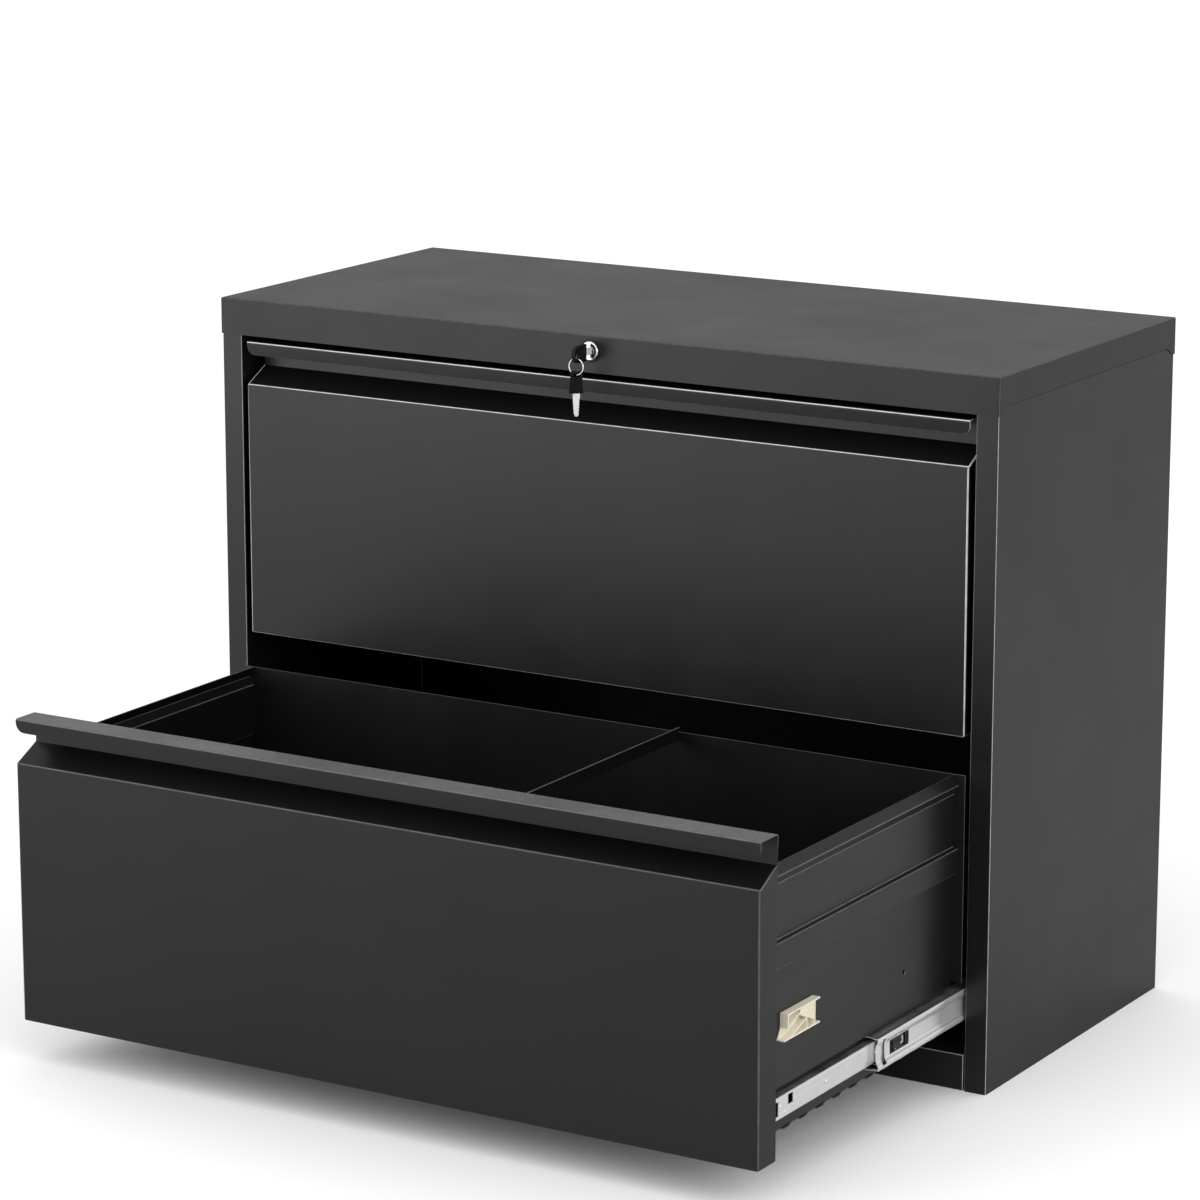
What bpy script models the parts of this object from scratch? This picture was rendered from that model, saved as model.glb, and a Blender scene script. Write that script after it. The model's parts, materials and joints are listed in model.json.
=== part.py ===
"""Two-drawer lateral filing cabinet in folded sheet steel.

Metres, +X to the cabinet's right as it is faced from the front, +Y to its back, +Z up.
The lower drawer stands fully open and the upper one is shut. The origin is on the floor
in the middle of the room that the cabinet takes with that drawer open.
"""

import math

import bmesh
import bpy
from mathutils import Matrix, Vector

# Outside of the cabinet
WIDTH = 0.900
DEPTH = 0.400
HEIGHT = 0.710

# Sheet and fits
SHEET = 0.0010
CAP_SHEET = 0.0008
BEND = 0.0016
BEND_STEPS = 2
GAP = 0.0003
HIDDEN = 0.010

# Cap: front and back skirts, and the shallower side skirts between its corners
SKIRT = 0.0377
SIDE_SKIRT = 0.0295
SKIRT_CORNER = 0.0165
SKIRT_REAR_CORNER = 0.0190
SKIRT_REAR_FOOT = 0.0060

# Side panels with the front posts folded from them
POST_WIDTH = 0.025
POST_RETURN = 0.060
POST_LIP = 0.012
REAR_FLANGE = 0.015

# Base rail and floor panel
RAIL_HEIGHT = 0.0369
RAIL_DEPTH = 0.025
RAIL_END_GAP = 0.0012
FLOOR_LEVEL = 0.033
FLOOR_FLANGE = 0.022

# Rear uprights
UPRIGHT_DEPTH = 0.050
UPRIGHT_BACK_GAP = 0.012

# Drawer fronts
FACE_SIDE_GAP = 0.0068
FACE_RAIL_GAP = 0.0040
FACE_SETBACK = 0.0009
LIP_CAP_GAP = 0.0061
LIP_FACE_GAP = 0.0053
FRONT_DEPTH = 0.0325
SLANT_RISE = 0.0152
LIP_RISE = 0.0448
LIP_DROP = 0.0142
LIP_LEAN = 0.0022
LIP_CORNER = 0.0085

# Drawer bodies, heights above the bottom of the face
TRAVEL = 0.3985
BODY_SIDE_GAP = 0.0125
BODY_FLOOR = 0.0198
BODY_SETDOWN = 0.0005
BACK_CLEARANCE = 0.003
WING_CLEARANCE = 0.0012
SLIDE_LEVEL = 0.0464
LEDGE_ABOVE_SLIDE = 0.0182
LEDGE_SLOPE = 0.0008
BAND_LEVEL = 0.1806
BAND_HEIGHT = 0.0270
BAND_OUT = 0.0054
BAND_SLOPE = 0.0010
BEAD_BELOW_TOP = 0.0195
BEAD_RISE = 0.0090
BEAD_OUT = 0.0051
RIB_PITCH = 0.0326
RIB_DEPTH = 0.0022
RIB_FLAT = 0.0110
RIB_SLOPE = 0.0045
RIB_FRONT = 0.0311
RIB_MARGIN = 0.012
RAIL_STEP = 0.0095
RAIL_LIP = 0.0160
SIDE_HOLE = 0.0060
SIDE_HOLE_Y = 0.2935
SIDE_HOLE_LEVEL = 0.1080

# Hanging bar across the drawer, front to back
BAR_X = 0.104
BAR_THICKNESS = 0.0020
BAR_DEPTH = 0.0130
BAR_ABOVE = 0.0042
BAR_END = 0.0020

# Telescopic slides: measured inwards from the cabinet's mounting plane, and from the centre line
SLIDE_THICKNESS = 0.0191
MEMBER_SHEET = 0.0012
CAGE_SHEET = 0.0006
OUTER_HALF = 0.0225
OUTER_LIP_AT = 0.0113
OUTER_LIP = 0.0026
MIDDLE_HALF = 0.01665
MIDDLE_AT = 0.0027
MIDDLE_RECESS = 0.0023
MIDDLE_RECESS_HALF = 0.0084
MIDDLE_RECESS_SLOPE = 0.0026
MIDDLE_RACE = 0.0012
MIDDLE_RACE_END = 0.0100
MIDDLE_REACH = 0.0183
INNER_HALF = 0.0112
INNER_AT = 0.0107
SLIDE_START = 0.0407
OUTER_START = 0.0380
OUTER_BACK_GAP = 0.0056
MEMBERS_SHORTER = 0.0040
MIDDLE_SHARE = 0.5375
CAGE_LENGTH = 0.124
BALLS_PER_ROW = 4
BALL_SEGMENTS = 8
BALL_RINGS = 4
BALL_PLAY = 0.0003
OUTER_CAGE_START = 0.148
INNER_CAGE_START = 0.142
OUTER_BALL_AT = 0.0068
INNER_BALL_AT = 0.0150
WINDOW_FROM_END = 0.0265
WINDOW_LENGTH = 0.0390
WINDOW_HEIGHT = 0.0140
SLOT_FROM_END = 0.0090
SLOT_LENGTH = 0.0087
SLOT_HALF = 0.0130
MEMBER_HOLE_FROM_END = 0.0226
MEMBER_HOLE = 0.0094
MEMBER_HOLE_ABOVE = 0.0040
MEMBER_NOTCH = 0.0044
MEMBER_NOTCH_HALF = 0.0070

# Interlock clip on the drawer's right side
CLIP_LENGTH = 0.0522
CLIP_HEIGHT = 0.0246
CLIP_OUT = 0.0085
CLIP_WALL = 0.0014
CLIP_Y = 0.0487
CLIP_LEVEL = 0.1122
CLIP_HORN = 0.0090
CLIP_TOE = 0.0064
CLIP_TOE_HEIGHT = 0.0110
CLIP_RIB = 0.0010
CLIP_RIB_ANGLE = 18.5
CLIP_RIB_LENGTH = 0.0315
CLIP_WEB_LENGTH = 0.0265
CLIP_WEB_FOOT = 0.0054
CLIP_WEB_SLANT = 0.0110
CLIP_POST_FROM_REAR = 0.0152

# Lock, keys and ring
LOCK_BELOW_TOP = 0.0154
TRIM_RADIUS = 0.01185
TRIM_THICKNESS = 0.0010
HEAD_RADIUS = 0.0098
HEAD_HEIGHT = 0.0026
BARREL_RADIUS = 0.0080
BARREL_LENGTH = 0.0200
PLUG_RADIUS = 0.0060
PLUG_PROUD = 0.0004
PLUG_TAIL = 0.0030
NUT_ACROSS = 0.0220
NUT_THICKNESS = 0.0030
KEY_THICKNESS = 0.0018
KEY_WIDTH = 0.0072
KEY_INSERTED = 0.0150
KEY_HEAD_THICKNESS = 0.0036
KEY_HEAD_START = 0.0106
KEY_HEAD_RADIUS = 0.0086
KEY_HEAD_LENGTH = 0.0232
KEY_IN_HEAD = 0.0060
EYE_RADIUS = 0.0036
EYE_BACK = 0.0063
EYE_BELOW = 0.0018
RING_RADIUS = 0.0082
RING_WIRE = 0.00065
RING_SEAT = 0.0032
SPARE_TURN = 45.0
SPARE_TOP = 0.0106
SPARE_FOOT = 0.0142
SPARE_HEAD = 0.0216
SPARE_EYE_WIDTH = 0.0066
SPARE_EYE_HEIGHT = 0.0036
SPARE_BRIDGE = 0.0020
SPARE_PLAY = 0.0006
SPARE_BLADE = 0.0232
SPARE_TAPER = 0.0010
SPARE_TIP = 0.0030
SPARE_CUTS = 5
SPARE_CUT_PITCH = 0.0030
SPARE_CUT_DEPTH = 0.0012

# Locking gear behind the cap's front skirt
CAM_RADIUS = 0.0100
CAM_WIDTH = 0.0080
CAM_THICKNESS = 0.0015
CAM_PIN = 0.0018
CAM_SWING = 90.0
ROD_THICKNESS = 0.0015
ROD_HEIGHT = 0.0160
ROD_REACH = 0.400
ROD_TAIL = 0.018
ROD_PLAY = 0.0006
ROD_LEVEL_BELOW_LOCK = 0.0025
GEAR_SLOT_X = 0.375
LOCK_BAR_LIFT = 0.0070
LOCK_BAR_WIDTH = 0.0090
LOCK_BAR_FOOT = 0.120
LOCK_BAR_INSET = 0.0120
LOCK_BAR_TAB = 0.0040
LOCK_BAR_TAB_HEIGHT = 0.0160
GUIDE_HEIGHT = 0.0230
GUIDE_X = 0.200
GUIDE_WIDTH = 0.0140

# Places that follow from the sizes above
REACH = TRAVEL - FACE_SETBACK
FRONT = (REACH - DEPTH) / 2
OPENING_HALF = WIDTH / 2 - POST_WIDTH
SIDE_FACE = WIDTH / 2 - CAP_SHEET - GAP
UNDER_CAP = HEIGHT - CAP_SHEET - GAP
REAR_FACE = DEPTH - CAP_SHEET - GAP
BACK_PANEL_FACE = REAR_FACE - SHEET - GAP
BODY_BACK = BACK_PANEL_FACE - SHEET - BACK_CLEARANCE
OUTER_LENGTH = BODY_BACK - OUTER_BACK_GAP - OUTER_START
SLIDE_LENGTH = OUTER_LENGTH - MEMBERS_SHORTER
SLIDE_WALL = OPENING_HALF - SLIDE_THICKNESS
LEDGE_LEVEL = SLIDE_LEVEL + LEDGE_ABOVE_SLIDE
BODY_START = FACE_SETBACK + FRONT_DEPTH + GAP
LOCK_LEVEL = HEIGHT - LOCK_BELOW_TOP
FACE_WIDTH = 2 * (OPENING_HALF - FACE_SIDE_GAP)
BODY_WIDTH = 2 * (OPENING_HALF - BODY_SIDE_GAP)
FACE_LEVEL = RAIL_HEIGHT + FACE_RAIL_GAP
FRONT_HEIGHT = (HEIGHT - SKIRT - LIP_CAP_GAP - LIP_FACE_GAP - FACE_LEVEL) / 2
DRAWER_PITCH = FRONT_HEIGHT + LIP_FACE_GAP
FACE_HEIGHT = FRONT_HEIGHT - LIP_RISE
BODY_TOP = FACE_HEIGHT + SLANT_RISE - BODY_SETDOWN
BEAD_LEVEL = BODY_TOP - BEAD_BELOW_TOP

BLACK_COAT = (0.045, 0.045, 0.046, 1.0)
ZINC = (0.62, 0.63, 0.64, 1.0)
CHROME = (0.80, 0.80, 0.80, 1.0)
BLACK_PLASTIC = (0.015, 0.015, 0.015, 1.0)
CREAM = (0.72, 0.68, 0.54, 1.0)
STEEL = (0.45, 0.45, 0.46, 1.0)


def clear_scene():
    for item in list(bpy.data.objects):
        bpy.data.objects.remove(item, do_unlink=True)


def make_collection(name):
    collection = bpy.data.collections.new(name)
    bpy.context.scene.collection.children.link(collection)
    return collection


clear_scene()
PARTS = make_collection("filing_cabinet")
CUTTERS = make_collection("cutters")


def make_material(name, colour, roughness, metallic):
    """One plain Principled material."""
    material = bpy.data.materials.new(name)
    material.use_nodes = True
    shader = material.node_tree.nodes["Principled BSDF"]
    shader.inputs["Base Color"].default_value = colour
    shader.inputs["Roughness"].default_value = roughness
    shader.inputs["Metallic"].default_value = metallic
    return material


def dress(obj, finish):
    """Give a piece a material of its own."""
    colour, roughness, metallic = finish
    obj.data.materials.append(make_material(obj.name + "_finish", colour, roughness, metallic))
    return obj


COAT = (BLACK_COAT, 0.38, 0.0)
PLATED = (ZINC, 0.30, 1.0)
BRIGHT = (CHROME, 0.12, 1.0)
PLASTIC = (BLACK_PLASTIC, 0.45, 0.0)
IVORY = (CREAM, 0.50, 0.0)
BARE = (STEEL, 0.35, 1.0)


def empty(name, place, parent=None):
    """A frame that a group of pieces hangs on."""
    frame = bpy.data.objects.new(name, None)
    frame.location = place
    frame.parent = parent
    PARTS.objects.link(frame)
    return frame


def object_from(name, bm, frame=None, collection=None):
    """Turn a bmesh into an object under a frame."""
    mesh = bpy.data.meshes.new(name)
    bm.to_mesh(mesh)
    bm.free()
    obj = bpy.data.objects.new(name, mesh)
    obj.parent = frame
    (collection or PARTS).objects.link(obj)
    return obj


def smooth(obj, angle=50.0):
    obj.data.shade_smooth()
    obj.data.set_sharp_from_angle(angle=math.radians(angle))
    return obj


def add_bends(obj, radius, steps=BEND_STEPS):
    bends = obj.modifiers.new("bends", "BEVEL")
    bends.width = radius
    bends.segments = steps
    bends.limit_method = "ANGLE"
    bends.angle_limit = math.radians(20.0)


def add_thickness(obj, thickness):
    wall = obj.modifiers.new("sheet", "SOLIDIFY")
    wall.thickness = thickness
    wall.offset = -1.0
    wall.use_even_offset = True
    wall.use_quality_normals = True


def to_space(axis, pair, along):
    """Place a point of a section drawn across one axis."""
    if axis == "X":
        return Vector((along, pair[0], pair[1]))
    if axis == "Y":
        return Vector((pair[0], along, pair[1]))
    return Vector((pair[0], pair[1], along))


def rounded_arm(start, end, radius, steps=8):
    """Outline of a flat arm with a round end about each of two points."""
    heading = math.atan2(end[1] - start[1], end[0] - start[0])
    outline = []
    for centre, turn in ((start, math.pi / 2), (end, -math.pi / 2)):
        for number in range(steps + 1):
            angle = heading + turn + math.pi * number / steps
            outline.append((centre[0] + radius * math.cos(angle), centre[1] + radius * math.sin(angle)))
    return outline


def folded_sheet(name, axis, outline, span, finish, frame=None, thickness=SHEET, radius=BEND):
    """Sheet folded along an open outline; its metal lies to the right of the path."""
    bm = bmesh.new()
    verts = [bm.verts.new(to_space(axis, pair, span[0])) for pair in outline]
    edges = [bm.edges.new(ends) for ends in zip(verts, verts[1:])]
    grown = bmesh.ops.extrude_edge_only(bm, edges=edges)
    moved = [item for item in grown["geom"] if isinstance(item, bmesh.types.BMVert)]
    stretch = to_space(axis, (0.0, 0.0), span[1] - span[0])
    bmesh.ops.translate(bm, verts=moved, vec=stretch)
    bmesh.ops.recalc_face_normals(bm, faces=bm.faces[:])
    bm.normal_update()
    bm.faces.ensure_lookup_table()
    step = (outline[1][0] - outline[0][0], outline[1][1] - outline[0][1])
    outward = to_space(axis, (-step[1], step[0]), 0.0)
    middle = to_space(axis, ((outline[0][0] + outline[1][0]) / 2, (outline[0][1] + outline[1][1]) / 2),
                      (span[0] + span[1]) / 2)
    first = min(bm.faces, key=lambda face: (face.calc_center_median() - middle).length)
    if first.normal.dot(outward) < 0:
        bmesh.ops.reverse_faces(bm, faces=bm.faces[:])
    obj = object_from(name, bm, frame)
    if radius:
        add_bends(obj, radius)
    add_thickness(obj, thickness)
    return smooth(dress(obj, finish))


def mirrored(outline, side):
    """The same section for the right side, or turned over for the left."""
    if side > 0:
        return outline
    return [(-across, up) for across, up in reversed(outline)]


def block(bm, low, high):
    """A box between two corners."""
    low, high = Vector(low), Vector(high)
    size = Matrix.Diagonal((*(high - low), 1.0))
    return bmesh.ops.create_cube(bm, size=1.0, matrix=Matrix.Translation((low + high) / 2) @ size)["verts"]


def tray(name, low, high, open_side, finish, frame=None, thickness=SHEET, radius=BEND):
    """A box of folded sheet, open on the side that open_side points to."""
    bm = bmesh.new()
    block(bm, low, high)
    bm.normal_update()
    opened = [face for face in bm.faces if face.normal.dot(Vector(open_side)) > 0.5]
    bmesh.ops.delete(bm, geom=opened, context="FACES_ONLY")
    obj = object_from(name, bm, frame)
    add_bends(obj, radius)
    add_thickness(obj, thickness)
    return smooth(dress(obj, finish))


def flat_plate(name, axis, outline, level, thickness, finish, frame=None):
    """A flat plate cut to an outline, from level onwards along the axis."""
    bm = bmesh.new()
    face = bm.faces.new([bm.verts.new(to_space(axis, pair, level)) for pair in outline])
    bm.normal_update()
    if face.normal.dot(to_space(axis, (0.0, 0.0), 1.0)) > 0:
        bmesh.ops.reverse_faces(bm, faces=[face])
    obj = object_from(name, bm, frame)
    add_thickness(obj, thickness)
    return dress(obj, finish)


def tool(name, bm, frame=None):
    """A shape that only cuts or adds to others."""
    bmesh.ops.recalc_face_normals(bm, faces=bm.faces[:])
    obj = object_from(name, bm, frame, CUTTERS)
    obj.hide_render = True
    obj.display_type = "WIRE"
    return obj


def combine(obj, other, operation="DIFFERENCE"):
    change = obj.modifiers.new(other.name, "BOOLEAN")
    change.operation = operation
    change.object = other
    change.solver = "EXACT"
    return obj


def cut_boxes(obj, boxes, frame=None):
    """Cut separate boxes out of a piece."""
    bm = bmesh.new()
    for low, high in boxes:
        block(bm, low, high)
    return combine(obj, tool(obj.name + "_cuts", bm, frame))


def rod_mesh(bm, radius, start, end, segments=24):
    """A closed cylinder between two points."""
    start, end = Vector(start), Vector(end)
    line = end - start
    turn = line.to_track_quat("Z", "Y").to_matrix().to_4x4()
    place = Matrix.Translation((start + end) / 2) @ turn
    return bmesh.ops.create_cone(bm, cap_ends=True, segments=segments, radius1=radius, radius2=radius,
                                 depth=line.length, matrix=place)["verts"]


def turned(name, profile, finish, frame, steps=32):
    """A ring turned about the frame's Y axis from (radius, y) points, front to back on the outside."""
    bm = bmesh.new()
    verts = [bm.verts.new((radius, 0.0, -along)) for radius, along in profile]
    for ends in zip(verts, verts[1:] + verts[:1]):
        bm.edges.new(ends)
    obj = object_from(name, bm, frame)
    obj.rotation_euler = (math.radians(90.0), 0.0, 0.0)
    screw = obj.modifiers.new("turn", "SCREW")
    screw.axis = "Z"
    screw.steps = steps
    screw.render_steps = steps
    screw.use_merge_vertices = True
    screw.merge_threshold = 0.00002
    return smooth(dress(obj, finish))


# Carcass


def make_cap():
    """Top tray with deep front and back skirts and shallower sides."""
    low = (-WIDTH / 2, FRONT, HEIGHT - SKIRT)
    high = (WIDTH / 2, FRONT + DEPTH, HEIGHT)
    cap = tray("top_cap", low, high, (0, 0, -1), COAT, thickness=CAP_SHEET)
    slope = (SKIRT_REAR_CORNER - SKIRT_REAR_FOOT) / (SKIRT - SIDE_SKIRT)
    bm = bmesh.new()
    for side in (-1, 1):
        edge = side * WIDTH / 2
        inner, outer = sorted((edge - side * HIDDEN, edge + side * HIDDEN))
        verts = block(bm, (inner, FRONT + SKIRT_CORNER, HEIGHT - SKIRT),
                      (outer, FRONT + DEPTH - SKIRT_REAR_CORNER, HEIGHT - SIDE_SKIRT))
        for vert in verts:
            if vert.co.z < HEIGHT - (SKIRT + SIDE_SKIRT) / 2:
                vert.co.z -= HIDDEN
                if vert.co.y > FRONT + DEPTH / 2:
                    vert.co.y += slope * (SKIRT + HIDDEN - SIDE_SKIRT)
    combine(cap, tool("skirt_notches", bm))
    bm = bmesh.new()
    rod_mesh(bm, BARREL_RADIUS + GAP, (0, FRONT - HIDDEN, LOCK_LEVEL), (0, FRONT + HIDDEN, LOCK_LEVEL))
    return combine(cap, tool("lock_hole", bm))


def make_side_panel(name, side):
    """Outer skin, front post with its return, and rear flange, folded from one sheet."""
    front = FRONT + CAP_SHEET + GAP
    rear = FRONT + REAR_FACE
    outline = [(OPENING_HALF + POST_LIP, front + POST_RETURN), (OPENING_HALF, front + POST_RETURN),
               (OPENING_HALF, front), (SIDE_FACE, front), (SIDE_FACE, rear), (SIDE_FACE - REAR_FLANGE, rear)]
    path = list(reversed(mirrored(outline, side)))
    panel = folded_sheet(name, "Z", path, (0.0, UNDER_CAP), COAT)
    if side > 0:
        middle = FRONT + gear_depth() + ROD_THICKNESS + GAP
        reach = (OPENING_HALF - HIDDEN, OPENING_HALF + SHEET + GAP)
        windows = [((reach[0], middle - LOCK_BAR_TAB, LOCK_LEVEL - GUIDE_HEIGHT - LOCK_BAR_LIFT),
                    (reach[1], middle + LOCK_BAR_TAB + ROD_THICKNESS, UNDER_CAP + HIDDEN))]
        cut_boxes(panel, windows)
    return panel


def make_back_panel():
    half = SIDE_FACE - SHEET - GAP
    face = FRONT + BACK_PANEL_FACE
    outline = [(-half, 0.001), (half, 0.001), (half, UNDER_CAP - GAP), (-half, UNDER_CAP - GAP)]
    return flat_plate("back_panel", "Y", outline, face - SHEET, SHEET, COAT)


def make_base_rail():
    """Kick rail between the posts, a shallow tray open to the back."""
    half = OPENING_HALF - RAIL_END_GAP
    front = FRONT + CAP_SHEET + 2 * GAP
    return tray("base_rail", (-half, front, 0.0), (half, front + RAIL_DEPTH, RAIL_HEIGHT), (0, 1, 0), COAT)


def make_floor_panel():
    half = OPENING_HALF - GAP
    front = FRONT + CAP_SHEET + 2 * GAP + RAIL_DEPTH + GAP
    back = FRONT + BACK_PANEL_FACE - SHEET - GAP
    low = (-half, front, FLOOR_LEVEL - FLOOR_FLANGE)
    return tray("floor_panel", low, (half, back, FLOOR_LEVEL), (0, 0, -1), COAT)


def make_rear_upright(name, side):
    """Channel that carries the back ends of the slides on one side."""
    back = FRONT + BACK_PANEL_FACE - SHEET - UPRIGHT_BACK_GAP
    front = back - UPRIGHT_DEPTH
    outer = SIDE_FACE - SHEET - GAP
    outline = [(outer, front), (OPENING_HALF, front), (OPENING_HALF, back), (outer, back)]
    return folded_sheet(name, "Z", mirrored(outline, side), (GAP, UNDER_CAP - GAP), COAT)


# Slides


def slide_section(points, side):
    """Section of a slide member in (inwards, up) pairs, placed on one side of the opening."""
    return mirrored([(OPENING_HALF - inwards, up) for inwards, up in points], side)


def channel(at, half, reach):
    """A plain channel section whose web is at one depth and whose flanges run inwards."""
    return [(reach, half), (at, half), (at, -half), (reach, -half)]


def make_outer_member(name, side, frame):
    inner_edge = OUTER_HALF - OUTER_LIP
    points = [(OUTER_LIP_AT, inner_edge), (OUTER_LIP_AT, OUTER_HALF), (GAP, OUTER_HALF),
              (GAP, -OUTER_HALF), (OUTER_LIP_AT, -OUTER_HALF), (OUTER_LIP_AT, -inner_edge)]
    span = (OUTER_START, OUTER_START + OUTER_LENGTH)
    return folded_sheet(name, "Y", slide_section(points, side), span, PLATED, frame, MEMBER_SHEET)


def make_middle_member(name, side, frame):
    """Intermediate member: recessed web, grooved ball races, window and stop slot near its front end."""
    web = MIDDLE_AT + MIDDLE_RECESS
    foot = MIDDLE_RECESS_HALF + MIDDLE_RECESS_SLOPE
    upper = [(MIDDLE_REACH, MIDDLE_HALF), (MIDDLE_RACE_END, MIDDLE_HALF),
             (OUTER_BALL_AT, MIDDLE_HALF - MIDDLE_RACE), (MIDDLE_AT, MIDDLE_HALF), (MIDDLE_AT, foot),
             (web, MIDDLE_RECESS_HALF)]
    points = upper + [(inwards, -up) for inwards, up in reversed(upper)]
    span = (SLIDE_START, SLIDE_START + SLIDE_LENGTH)
    member = folded_sheet(name, "Y", slide_section(points, side), span, PLATED, frame, MEMBER_SHEET)
    across = sorted((side * OPENING_HALF, side * (OPENING_HALF - web - MEMBER_SHEET - GAP)))
    window = SLIDE_START + WINDOW_FROM_END
    slot = SLIDE_START + SLOT_FROM_END
    half = WINDOW_HEIGHT / 2
    openings = [((across[0], window, -half), (across[1], window + WINDOW_LENGTH, half)),
                ((across[0], slot, -SLOT_HALF), (across[1], slot + SLOT_LENGTH, SLOT_HALF))]
    return cut_boxes(member, openings, frame)


def make_inner_member(name, side, frame):
    points = channel(INNER_AT, INNER_HALF, SLIDE_THICKNESS - GAP)
    span = (SLIDE_START, SLIDE_START + SLIDE_LENGTH)
    member = folded_sheet(name, "Y", slide_section(points, side), span, PLATED, frame, MEMBER_SHEET)
    hole = SLIDE_START + MEMBER_HOLE_FROM_END
    notch = SLIDE_START + MEMBER_NOTCH
    across = sorted((side * OPENING_HALF, side * (OPENING_HALF - INNER_AT - MEMBER_SHEET - GAP)))
    low = MEMBER_HOLE_ABOVE - MEMBER_HOLE / 2
    openings = [((across[0], hole, low), (across[1], hole + MEMBER_HOLE, low + MEMBER_HOLE)),
                ((across[0], SLIDE_START - HIDDEN, -MEMBER_NOTCH_HALF),
                 (across[1], notch, MEMBER_NOTCH_HALF))]
    return cut_boxes(member, openings, frame)


def make_cage(name, side, frame, web_at, reach, ball_at, track, start):
    """Ball cage: a thin channel with a row of balls along its top and bottom flange.

    The track is the free height between the two races, lowest and highest."""
    low, high = track
    centre = (low + high) / 2
    radius = (high - low) / 2 - BALL_PLAY
    points = channel(web_at, centre + CAGE_SHEET / 2, reach)
    cage = folded_sheet(name, "Y", slide_section(points, side), (start, start + CAGE_LENGTH), PLATED, frame,
                        CAGE_SHEET, radius=0.0)
    bm = bmesh.new()
    pitch = CAGE_LENGTH / BALLS_PER_ROW
    for number in range(BALLS_PER_ROW):
        along = start + (number + 0.5) * pitch
        for up in (-centre, centre):
            place = Matrix.Translation((side * (OPENING_HALF - ball_at), along, up))
            bmesh.ops.create_uvsphere(bm, u_segments=BALL_SEGMENTS, v_segments=BALL_RINGS, radius=radius,
                                      matrix=place)
    return combine(cage, tool(name + "_balls", bm, frame), "UNION")


def make_slides(level, opened):
    """Both slides of one drawer: its outer members, and the frames and names of what moves."""
    prefix = level["name"]
    centre = level["height"] + SLIDE_LEVEL
    fixed = empty(prefix + "_slide_line", (0, FRONT, centre))
    outer_track = (MIDDLE_HALF - MIDDLE_RACE / 2, OUTER_HALF - MEMBER_SHEET)
    inner_track = (INNER_HALF, MIDDLE_HALF - MEMBER_SHEET)
    middle_travel = opened * MIDDLE_SHARE
    frames = {
        "middle": empty(prefix + "_middle_frame", (0, FRONT - middle_travel, centre)),
        "outer_cage": empty(prefix + "_outer_cage_frame", (0, FRONT - middle_travel / 2, centre)),
        "inner_cage": empty(prefix + "_inner_cage_frame", (0, FRONT - (middle_travel + opened) / 2, centre)),
        "inner": empty(prefix + "_inner_frame", (0, FRONT - opened, centre)),
    }
    for word, side in (("left", -1), ("right", 1)):
        start = prefix + "_" + word
        make_outer_member(start + "_outer_member", side, fixed)
        make_middle_member(start + "_middle_member", side, frames["middle"])
        make_inner_member(start + "_inner_member", side, frames["inner"])
        make_cage(start + "_outer_cage", side, frames["outer_cage"], GAP + MEMBER_SHEET + GAP,
                  OUTER_LIP_AT - MEMBER_SHEET - 2 * GAP, OUTER_BALL_AT, outer_track, OUTER_CAGE_START)
        web = MIDDLE_AT + MIDDLE_RECESS + MEMBER_SHEET
        make_cage(start + "_inner_cage", side, frames["inner_cage"], (web + INNER_AT - CAGE_SHEET) / 2,
                  SLIDE_THICKNESS - 5 * GAP, INNER_BALL_AT, inner_track, INNER_CAGE_START)


# Drawers


def side_outline():
    """Outer surface of a drawer's right side, from its foot up, above the bottom of the face."""
    wall = BODY_WIDTH / 2
    foot = BODY_FLOOR + SHEET + GAP
    return [(SLIDE_WALL, foot), (SLIDE_WALL, LEDGE_LEVEL), (wall, LEDGE_LEVEL + LEDGE_SLOPE),
            (wall, BAND_LEVEL), (wall + BAND_OUT, BAND_LEVEL + BAND_SLOPE),
            (wall + BAND_OUT, BAND_LEVEL + BAND_HEIGHT - BAND_SLOPE), (wall, BAND_LEVEL + BAND_HEIGHT),
            (wall, BEAD_LEVEL), (wall + BEAD_OUT, BEAD_LEVEL + BEAD_RISE), (wall, BODY_TOP)]


def make_drawer_side(name, side, frame):
    path = list(reversed(mirrored(side_outline(), side)))
    span = (BODY_START, BODY_BACK - SHEET - GAP)
    panel = folded_sheet(name, "Y", path, span, COAT, frame)
    bm = bmesh.new()
    wall = side * BODY_WIDTH / 2
    rod_mesh(bm, SIDE_HOLE / 2, (wall - HIDDEN, SIDE_HOLE_Y, SIDE_HOLE_LEVEL),
             (wall + HIDDEN, SIDE_HOLE_Y, SIDE_HOLE_LEVEL), 12)
    return combine(panel, tool(name + "_hole", bm, frame))


def make_drawer_back(name, frame):
    """Back panel whose wings stand out past the sides above the slides."""
    wing = OPENING_HALF - WING_CLEARANCE
    narrow = SLIDE_WALL - SHEET - GAP
    foot = BODY_FLOOR + SHEET + GAP
    shoulder = SLIDE_LEVEL + OUTER_HALF + 10 * GAP
    half = [(narrow, foot), (narrow, shoulder), (wing, shoulder), (wing, BODY_TOP)]
    outline = half + [(-across, up) for across, up in reversed(half)]
    return flat_plate(name, "Y", outline, BODY_BACK - SHEET, SHEET, COAT, frame)


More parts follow.
